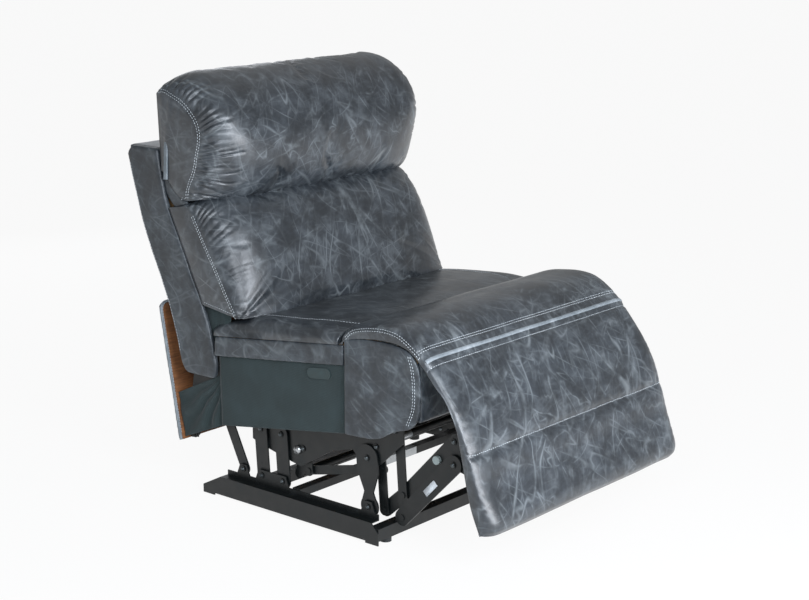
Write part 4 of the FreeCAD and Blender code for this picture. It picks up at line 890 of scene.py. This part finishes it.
def makeSidePanels():
    high = bandSizes["height"]
    band = [(-508, bandEdge(-508)), (-78, bandEdge(-78)),
            (-78, bandEdge(-78, high)), (-502, bandEdge(-502, high))]
    bands = bothSides("band", band, panelAcross["band"], sideLook)
    piece = dress(joined("sideBands", bands), sideLeather)
    front = Line([(-76, 264), (18, 272), (74, 300), (122, 318), (146, 350), (151, 400), (150, 442),
                  (138, 474), (112, 497), (60, 505), (-10, 503), (-76, 493)]).at(np.linspace(0, 1, 90))
    panels = bothSides("panel", front, panelAcross["panel"], sideLook)
    panel = dress(joined("frontSidePanels", panels), sideLeather)
    board = roundCorners([(132, 333), (147, 333), (147, 473), (132, 473)], 5)
    face = dress(slab("frontPanel", board, -378, 378, sideLook), sideLeather)
    seamLine = Line([(132, 484), (141, 452), (145, 410), (143, 366), (128, 327)]).at(np.linspace(0, 1, 60))
    for sign in (1, -1):
        for inset in (-8, -14):
            sew("seat", hug(panel, sideRow(sign * panelAcross["stitches"], seamLine + np.array([inset, 0]))))
    for part, nodes in ((piece, ["side_bands"]), (panel, ["front_side_panel_left", "front_side_panel_right"]),
                        (face, ["front_panel"])):
        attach(part, "seat")
        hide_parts(*nodes)


clothLook = {"folds": 5.0, "flatCover": (0.42, 0.17), "flatDust": (0.175, 0.15), "flatCorner": (0.14, 0.13)}


def clothPatch(name, corners, across, relief, columns=60, rowsUp=50):
    # a sheet between four side-view corners, pushed outwards by relief(forward, up) in mm
    a, b, c, d = [np.array(p, float) for p in corners]
    u, w = np.meshgrid(np.linspace(0, 1, columns), np.linspace(0, 1, rowsUp))
    u, w = u.ravel()[:, None], w.ravel()[:, None]
    flat = (1 - u) * (1 - w) * a + u * (1 - w) * b + u * w * c + (1 - u) * w * d
    out = relief(flat[:, 0], flat[:, 1], u[:, 0], w[:, 0])
    points = toFrame(across + math.copysign(1, across) * out, flat[:, 0], flat[:, 1])
    faces = [[j * columns + i, j * columns + i + 1, (j + 1) * columns + i + 1, (j + 1) * columns + i]
             for j in range(rowsUp - 1) for i in range(columns - 1)]
    piece = newMesh(name, points, faces)
    addModifier(piece, "SOLIDIFY", thickness=0.8 * mm, offset=0)
    return tidyMesh(bakeModifiers(piece))


def makeCloths():
    for sign, side, covers in ((1, "Right", "side_cover_right"), (-1, "Left", "side_cover_left")):
        corners = [(-492, 200), (-78, 264), (-78, bandEdge(-78, 3)), (-496, bandEdge(-496, 3))]

        def pulled(forward, up, u, w):
            spots = toFrame(np.zeros(len(u)), forward, up)
            return noiseAt(spots, 90, 5 + sign) * 0.7 + noiseAt(spots * np.array([1, 3, 1]), 40, 9) * 0.35

        cover = clothPatch("sideCover" + side, corners, sign * 380, pulled)
        dress(cover, cambric)
        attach(cover, "seat")
        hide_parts(covers)
        corners = [(-633, 141), (-487, 201), (-492, 330), (-653, 254)]

        def gathered(forward, up, u, w):
            # folds fan out from where the cloth is stapled at the top corner of the seat box
            angle = np.arctan2(330 - up, -480 - forward)
            far = np.hypot(330 - up, -480 - forward)
            wave = np.sin(angle * 21 + noiseAt(toFrame(np.zeros(len(u)), forward, up), 60, 3 * sign) * 1.6)
            edge = np.minimum(1, 6 * np.minimum(np.minimum(u, 1 - u), np.minimum(w, 1 - w)) + 0.25)
            return clothLook["folds"] * wave * smoothStep(0, 90, far) * edge - 3

        dust = clothPatch("dustCloth" + side, corners, sign * 378, gathered)
        dress(dust, cambric)
        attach(dust, "seat")
        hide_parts("dust_cloths")


def makeCornerCloths():
    # the gap between the wing, the seat cushion and the back cushion's corner is closed with cloth
    for sign, side in ((1, "Right"), (-1, "Left")):
        corners = [(-590, 400), (-474, 400), (-462, 478), (-592, 545)]

        def slack(forward, up, u, w):
            fold = np.sin(u * 16 + noiseAt(toFrame(np.zeros(len(u)), forward, up), 70, 2 * sign) * 2)
            return 1.6 * fold * np.sin(np.pi * w) + noiseAt(toFrame(up, forward, up), 50, 6) * 1.5

        cloth = clothPatch("cornerCloth" + side, corners, sign * 370, slack, 40, 40)
        dress(cloth, cambric)
        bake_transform(cloth)


skirtSizes = {"lean": 10.2, "length": 352, "board": 12, "halfWidth": 382, "corner": 22, "rim": 4.2}


def skirtPoint(across, height, depth):
    lean = math.radians(skirtSizes["lean"])
    forward = -635 - math.sin(lean) * height - math.cos(lean) * depth
    up = 134 + math.cos(lean) * height - math.sin(lean) * depth
    return place(across, forward, up)


def skirtSheet(name, halfWidth, low, high, near, far, voxel, soften):
    corners = [(-halfWidth, low), (halfWidth, low), (halfWidth, high), (-halfWidth, high)]
    ring = roundCorners(corners, [2, 2, skirtSizes["corner"], skirtSizes["corner"]])
    vertices = [skirtPoint(p[0], p[1], depth) for depth in (near, far) for p in ring]
    piece = tidyMesh(newMesh(name, vertices, prismFaces(len(ring))))
    if voxel:
        return evenMesh(piece, voxel, soften)
    addModifier(piece, "BEVEL", width=0.8 * mm, segments=2, limit_method="ANGLE")
    smoothFaces(bakeModifiers(piece), False)
    return piece


def tubeAlong(name, points, radius, sides=4):
    # a round bar that follows the points, as a mesh
    curve = bpy.data.curves.new(name, "CURVE")
    curve.dimensions = "3D"
    spline = curve.splines.new("POLY")
    spline.points.add(len(points) - 1)
    for spot, point in zip(spline.points, points):
        spot.co = (*point, 1)
    curve.bevel_depth = radius
    curve.bevel_resolution = sides
    curve.use_fill_caps = True
    return tidyMesh(bakeModifiers(addObject(name, curve)), 0.00002)


def makeSkirt():
    size = skirtSizes
    wide = size["halfWidth"]
    board = skirtSheet("skirtBoard", wide - 1, 0, size["length"] - 2, 0, size["board"], 0, 0)
    leatherBack = skirtSheet("skirtLeather", wide + 2, 0, size["length"] + 1, size["board"] - 4,
                             size["board"] + 3, 3.5, 2)
    points = coordinates(leatherBack.data)
    setCoordinates(leatherBack.data, points + normalsOf(leatherBack.data)
                   * (noiseAt(points, 110, 14) * 1.0 * mm)[:, None])
    smoothFaces(leatherBack)
    ring = roundCorners([(-wide, 0), (-wide, size["length"]), (wide, size["length"]), (wide, 0)],
                        [0, size["corner"], size["corner"], 0], 10)
    path = Line(ring, straight=True).at(np.linspace(0, 1, 420))
    middle = size["board"] / 2 + 1
    rim = tubeAlong("skirtRim", [skirtPoint(p[0], p[1], middle) for p in path], size["rim"] * mm)
    dress(board, hardboard)
    dress(leatherBack, sideLeather)
    dress(rim, paleStrip)
    for part, slot, nodes in ((board, "timber", ["skirt_board"]), (leatherBack, "leather", ["skirt_leather"]),
                              (rim, "leather", ["skirt_leather"])):
        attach(part, "skirt")
        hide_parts(*nodes)
    staples = [skirtPoint(p[0] + math.copysign(-2, p[0]), p[1], -0.4) for p in path[6:-6]]
    sew("skirt", staples)


# ---------- what repeats: stitches, rivets and springs ----------

def newTree(name, sizes):
    # an empty geometry tree with named inputs; returns it with its ends and its socket identifiers
    tree = bpy.data.node_groups.new(name, "GeometryNodeTree")
    tree.interface.new_socket("Geometry", in_out="INPUT", socket_type="NodeSocketGeometry")
    tree.interface.new_socket("Geometry", in_out="OUTPUT", socket_type="NodeSocketGeometry")
    keys = {}
    for label in (*sizes, "Material"):
        kind = "NodeSocketMaterial" if label == "Material" else "NodeSocketFloat"
        keys[label] = tree.interface.new_socket(label, in_out="INPUT", socket_type=kind).identifier
    return tree, addNode(tree, "NodeGroupInput"), addNode(tree, "NodeGroupOutput"), keys


def finishTree(tree, start, end, geometry):
    real = addNode(tree, "GeometryNodeRealizeInstances", links={"Geometry": geometry})
    done = addNode(tree, "GeometryNodeSetMaterial", links={
        "Geometry": real.outputs[0], "Material": start.outputs["Material"]})
    tree.links.new(done.outputs[0], end.inputs[0])


def growTree(piece, tree, keys, sizes, material):
    modifier = piece.modifiers.new(tree.name, "NODES")
    modifier.node_group = tree
    for label, value in sizes.items():
        modifier[keys[label]] = value
    modifier[keys["Material"]] = material
    return bakeModifiers(piece)


stitchSizes = {"Stitch Length": 0.0052, "Stitch Pitch": 0.0072, "Thread Radius": 0.0008}


def stitchTree():
    # a row of thread beads along every run of edges
    tree, start, end, keys = newTree("stitchRow", stitchSizes)
    curve = addNode(tree, "GeometryNodeMeshToCurve", links={"Mesh": start.outputs["Geometry"]})
    spots = addNode(tree, "GeometryNodeResampleCurve", {"mode": "LENGTH"}, {
        "Curve": curve.outputs[0], "Length": start.outputs["Stitch Pitch"]})
    along = addNode(tree, "GeometryNodeInputTangent")
    turned = addNode(tree, "FunctionNodeAlignRotationToVector", {"axis": "Z"}, {"Vector": along.outputs[0]})
    bead = addNode(tree, "GeometryNodeMeshUVSphere", {"Segments": 6, "Rings": 4, "Radius": 1.0})
    half = combine(tree, "MULTIPLY", start.outputs["Stitch Length"], 0.5)
    size = addNode(tree, "ShaderNodeCombineXYZ", links={
        "X": start.outputs["Thread Radius"], "Y": start.outputs["Thread Radius"], "Z": half})
    beads = addNode(tree, "GeometryNodeInstanceOnPoints", links={
        "Points": spots.outputs[0], "Instance": bead.outputs[0], "Rotation": turned.outputs[0],
        "Scale": size.outputs[0]})
    finishTree(tree, start, end, beads.outputs[0])
    return tree, keys


def stitchPiece(name, lines, tree, keys):
    vertices, edges = [], []
    for line in lines:
        first = len(vertices)
        vertices += list(line)
        edges += [(first + i, first + i + 1) for i in range(len(line) - 1)]
    piece = growTree(newMesh(name, vertices, [], edges), tree, keys, stitchSizes, thread)
    smoothFaces(piece)
    return piece


rivetSizes = {"Head Radius": 0.0056, "Head Height": 0.003}
railStuds = {"across": 338, "up": 40, "forward": (-428, -380, -353, -248, -145, -107)}


def rivetTree():
    # a domed head at every point, facing along the point's own direction
    tree, start, end, keys = newTree("rivetHeads", rivetSizes)
    facing = addNode(tree, "GeometryNodeInputNamedAttribute", {"data_type": "FLOAT_VECTOR", "Name": "facing"})
    turned = addNode(tree, "FunctionNodeAlignRotationToVector", {"axis": "Z"}, {"Vector": facing.outputs[0]})
    dome = addNode(tree, "GeometryNodeMeshUVSphere", {"Segments": 16, "Rings": 10, "Radius": 1.0})
    size = addNode(tree, "ShaderNodeCombineXYZ", links={
        "X": start.outputs["Head Radius"], "Y": start.outputs["Head Radius"],
        "Z": start.outputs["Head Height"]})
    heads = addNode(tree, "GeometryNodeInstanceOnPoints", links={
        "Points": start.outputs["Geometry"], "Instance": dome.outputs[0], "Rotation": turned.outputs[0],
        "Scale": size.outputs[0]})
    finishTree(tree, start, end, heads.outputs[0])
    return tree, keys


def islands(node):
    # the boxes of a node's separate solids
    work = bmesh.new()
    work.from_mesh(node.data)
    bmesh.ops.remove_doubles(work, verts=work.verts, dist=0.00001)
    seen, boxes = set(), []
    for vert in work.verts:
        if vert in seen:
            continue
        waiting, group = [vert], []
        while waiting:
            one = waiting.pop()
            if one not in seen:
                seen.add(one)
                group.append(one.co.copy())
                waiting += [edge.other_vert(one) for edge in one.link_edges]
        low = Vector(min(p[k] for p in group) for k in range(3))
        boxes.append((low, Vector(max(p[k] for p in group) for k in range(3))))
    work.free()
    return boxes


def makeRivets():
    tree, keys = rivetTree()
    studs = {"base": [(sign * railStuds["across"], forward, railStuds["up"])
                      for forward in railStuds["forward"] for sign in (1, -1)]}
    for node, body in (("base_pins", "base"), ("seat_pins", "seat"), ("footrest_pins", "footrest")):
        spots = [place(*spot) for spot in studs.get(body, ())]
        ways = [(math.copysign(1, spot[0]), 0, 0) for spot in spots]
        for low, high in islands(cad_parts[node]):
            middle = (low + high) / 2
            for x, way in ((low.x, -1), (high.x, 1)):
                spots.append((x, middle.y, middle.z))
                ways.append((way, 0, 0))
        piece = newMesh(body + "Rivets", spots, [])
        facing = piece.data.attributes.new("facing", "FLOAT_VECTOR", "POINT")
        facing.data.foreach_set("vector", np.array(ways, float).ravel())
        piece = growTree(piece, tree, keys, rivetSizes, rivetSteel)
        smoothFaces(piece)
        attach(piece, body)


labelSizes = {"along": 12, "long": 46, "wide": 16, "thick": 0.6}


def makeLabels():
    # a blank white label on the outer face of each outer ottoman link, beside its middle
    size = labelSizes
    for side in ("right", "left"):
        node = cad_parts["outer_ottoman_link_" + side]
        points = coordinates(node.data)
        outer = np.abs(points[:, 0]).max()
        ends = points[:, 1:]
        middle = (ends.min(axis=0) + ends.max(axis=0)) / 2
        way = np.linalg.eigh(np.cov((ends - ends.mean(axis=0)).T))[1][:, 1]
        way = way * math.copysign(1, way[1])
        wide = np.array([-way[1], way[0]])
        corners = []
        for x in (outer + 0.00005, outer + size["thick"] * mm):
            for s, t in ((-1, -1), (1, -1), (1, 1), (-1, 1)):
                shift = way * (size["along"] + s * size["long"] / 2) + wide * t * size["wide"] / 2
                spot = middle + shift * mm
                corners.append((x * math.copysign(1, points[0, 0]), spot[0], spot[1]))
        label = dress(tidyMesh(newMesh("blankLabel" + side.capitalize(), corners, prismFaces(4))), paper)
        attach(label, "outer_ottoman")


nutSizes = {"at": (-284, 168), "radius": 11, "low": 325, "high": 333}


def makeNuts():
    # a bright hexagon nut on the outer face of each seat plate
    size = nutSizes
    forward, up = size["at"]
    nuts = []
    for sign in (1, -1):
        ring = [(forward + size["radius"] * math.cos(turn), up + size["radius"] * math.sin(turn))
                for turn in np.arange(6) * math.pi / 3]
        corners = [place(sign * across, *spot) for across in (size["low"], size["high"]) for spot in ring]
        nuts.append(newMesh("nut", corners, prismFaces(6)))
    piece = dress(tidyMesh(joined("plateNuts", nuts)), zincSteel)
    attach(piece, "seat")


springSizes = {"Wire Radius": 0.0021, "Swing": 0.024, "Wave Pitch": 0.034}


def makeSprings():
    # sinuous springs: each wire snakes from side to side on its way from the rear rail to the front
    tree, start, end, keys = newTree("sinuousSprings", springSizes)
    curve = addNode(tree, "GeometryNodeMeshToCurve", links={"Mesh": start.outputs["Geometry"]})
    fine = addNode(tree, "GeometryNodeResampleCurve", {
        "mode": "COUNT", "Count": 180, "Curve": curve.outputs[0]})
    share = addNode(tree, "GeometryNodeSplineParameter")
    turns = combine(tree, "DIVIDE", share.outputs["Length"], start.outputs["Wave Pitch"])
    wave = combine(tree, "SINE", combine(tree, "MULTIPLY", turns, 2 * math.pi), 0.0)
    sideways = combine(tree, "MULTIPLY", wave, start.outputs["Swing"])
    offset = addNode(tree, "ShaderNodeCombineXYZ", links={"X": sideways})
    moved = addNode(tree, "GeometryNodeSetPosition", links={
        "Geometry": fine.outputs[0], "Offset": offset.outputs[0]})
    ring = addNode(tree, "GeometryNodeCurvePrimitiveCircle", {"Resolution": 8}, {
        "Radius": start.outputs["Wire Radius"]})
    wire = addNode(tree, "GeometryNodeCurveToMesh", {"Fill Caps": True}, {
        "Curve": moved.outputs[0], "Profile Curve": ring.outputs["Curve"]})
    finishTree(tree, start, end, wire.outputs[0])
    vertices, edges = [], []
    for low, high in islands(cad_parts["seat_springs"]):
        x = (low.x + high.x) / 2
        edges.append((len(vertices), len(vertices) + 1))
        vertices += [(x, high.y, low.z + 0.003), (x, low.y, high.z - 0.003)]
    piece = newMesh("sinuousSprings", vertices, [], edges)
    piece = tidyMesh(growTree(piece, tree, keys, springSizes, rivetSteel))
    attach(piece, "seat")
    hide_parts("seat_springs")


# ---------- assembly ----------

print("cushions")
headrestPieces, headrestLines = makeHeadrest()
backPieces, backLines = makeBackCushion()
makeSeatCushion()
chaisePad, chaiseStripe, chaiseLines = makeChaisePad()
print("back, panels and cloths")
makeBackShell()
makeSidePanels()
makeCloths()
makeCornerCloths()
makeSkirt()
print("stitches, rivets and springs")
rowTree, rowKeys = stitchTree()
for bodyName, lines in rows.items():
    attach(stitchPiece(bodyName + "Stitches", lines, rowTree, rowKeys), bodyName)
headrestPieces.append(stitchPiece("headrestStitches", headrestLines, rowTree, rowKeys))
backPieces.append(stitchPiece("backCushionStitches", backLines, rowTree, rowKeys))
for part in backPieces:
    # the hem stays tucked in on the seat while the back reclines
    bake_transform(part)
for part in headrestPieces:
    # the lower roll stays tucked in on the back while the rest tilts
    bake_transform(part)
chaiseStitches = stitchPiece("chaiseStitches", chaiseLines, rowTree, rowKeys)
for part in (chaisePad, chaiseStripe, chaiseStitches):
    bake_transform(part)
makeRivets()
makeLabels()
makeNuts()
makeSprings()

print("steel, boards and plastic")
dressNodes(blackSteel, "base_rail_left", "base_rail_right", "front_cross_rail", "rear_cross_rail",
           "motor_cross_rail", "front_lift_links", "middle_lift_links",
           "rear_lift_links", "back_links", "back_brackets", "drive_crank", "drive_links",
           "footrest_bracket_left",
           "footrest_bracket_right", "front_ottoman_link_left", "front_ottoman_link_right",
           "rear_ottoman_link_left", "rear_ottoman_link_right", "inner_ottoman_link_left",
           "inner_ottoman_link_right", "outer_ottoman_link_left", "outer_ottoman_link_right",
           "seat_side_plate_left", "seat_side_plate_right", "skirt_lugs", "tail_brackets",
           "headrest_arms", "base_pins", "seat_pins", "footrest_pins")
dressNodes(zincSteel, "motor_rail_bracket", "drive_sleeve")
dressNodes(sideLeather, "headrest_plate")
dressNodes(rivetSteel, "headrest_pins")
dressNodes(plywood, "back_frame", "seat_frame", "footrest_board")
dressNodes(blackPlastic, "base_glides")
dressNodes(insetPlastic, "side_inset")
dressNodes(greyPlastic, "ottoman_bumpers")

print("floor, lights and camera")


def makeStage():
    floor = newMesh("paleFloor", [(-60, -60, 0), (60, -60, 0), (60, 60, 0), (-60, 60, 0)], [[0, 1, 2, 3]])
    material = emptied(bpy.data.materials.new("matt_white_floor_paint"))
    paint = addNode(material, "ShaderNodeBsdfDiffuse", {"Color": linear("#f1f3f4")})
    glow = addNode(material, "ShaderNodeEmission", {"Color": linear("#ffffff"), "Strength": 1.0})
    rays = addNode(material, "ShaderNodeLightPath")
    seen = combine(material, "MAXIMUM", rays.outputs["Is Camera Ray"], combine(
        material, "MAXIMUM", rays.outputs["Is Glossy Ray"], rays.outputs["Is Transmission Ray"]))
    share = combine(material, "MULTIPLY", seen, 0.93)
    mixed = addNode(material, "ShaderNodeMixShader", {0: share, 1: paint.outputs[0], 2: glow.outputs[0]})
    addNode(material, "ShaderNodeOutputMaterial", links={"Surface": mixed.outputs[0]})
    dress(floor, material)
    world = emptied(bpy.data.worlds.new("studio"))
    bpy.context.scene.world = world
    rays = addNode(world, "ShaderNodeLightPath")
    glossy = combine(world, "MULTIPLY", rays.outputs["Is Glossy Ray"], 0.25)
    bright = combine(world, "MAXIMUM", rays.outputs["Is Camera Ray"], combine(
        world, "MAXIMUM", glossy, rays.outputs["Is Transmission Ray"]))
    strength = remap(world, bright, 0, 1, 0.22, 1.0, smooth=False)
    sky = addNode(world, "ShaderNodeBackground", {"Color": linear("#fbfdff")}, {"Strength": strength})
    addNode(world, "ShaderNodeOutputWorld", links={"Surface": sky.outputs[0]})


# where each lamp stands and aims, in metres, its width, watts and colour
lamps = {
    "frontSoftbox": ((-1.1, -2.15, 1.3), (0, -0.15, 0.5), 0.9, 46, "#eef5ff"),
    "sideSoftbox": ((-2.3, -1.25, 1.5), (0, 0.1, 0.55), 0.9, 26, "#eef5ff"),
    "lowFill": ((-0.2, -2.3, 0.5), (0, -0.7, 0.35), 0.9, 32, "#f4f8ff"),
    "backFill": ((1.6, 3.0, 1.3), (0, 0.2, 0.5), 1.6, 12, "#f4f8ff"),
    "topFill": ((0.3, 0.5, 3.6), (0, 0.1, 0.5), 2.2, 4, "#f4f8ff")}
cameraPlace = {"spot": (-3.269, -2.776, 1.518), "aim": (0.7417, 0.6289, -0.2330), "lens": 78.4}


def standAt(name, data, spot, aim):
    # a lamp or camera that looks along the aim
    holder = addObject(name, data)
    holder.location = spot
    holder.rotation_euler = Vector(aim).to_track_quat("-Z", "Y").to_euler()
    return holder


makeStage()
for name, (spot, target, width, watts, colour) in lamps.items():
    lamp = bpy.data.lights.new(name, "AREA")
    lamp.size = width
    lamp.energy = watts
    lamp.color = linear(colour)[:3]
    standAt(name, lamp, spot, Vector(target) - Vector(spot))
view = bpy.data.cameras.new("camera")
view.lens = cameraPlace["lens"]
bpy.context.scene.camera = standAt("camera", view, cameraPlace["spot"], cameraPlace["aim"])
bpy.context.scene.view_settings.view_transform = "Standard"

bpy.context.view_layer.update()
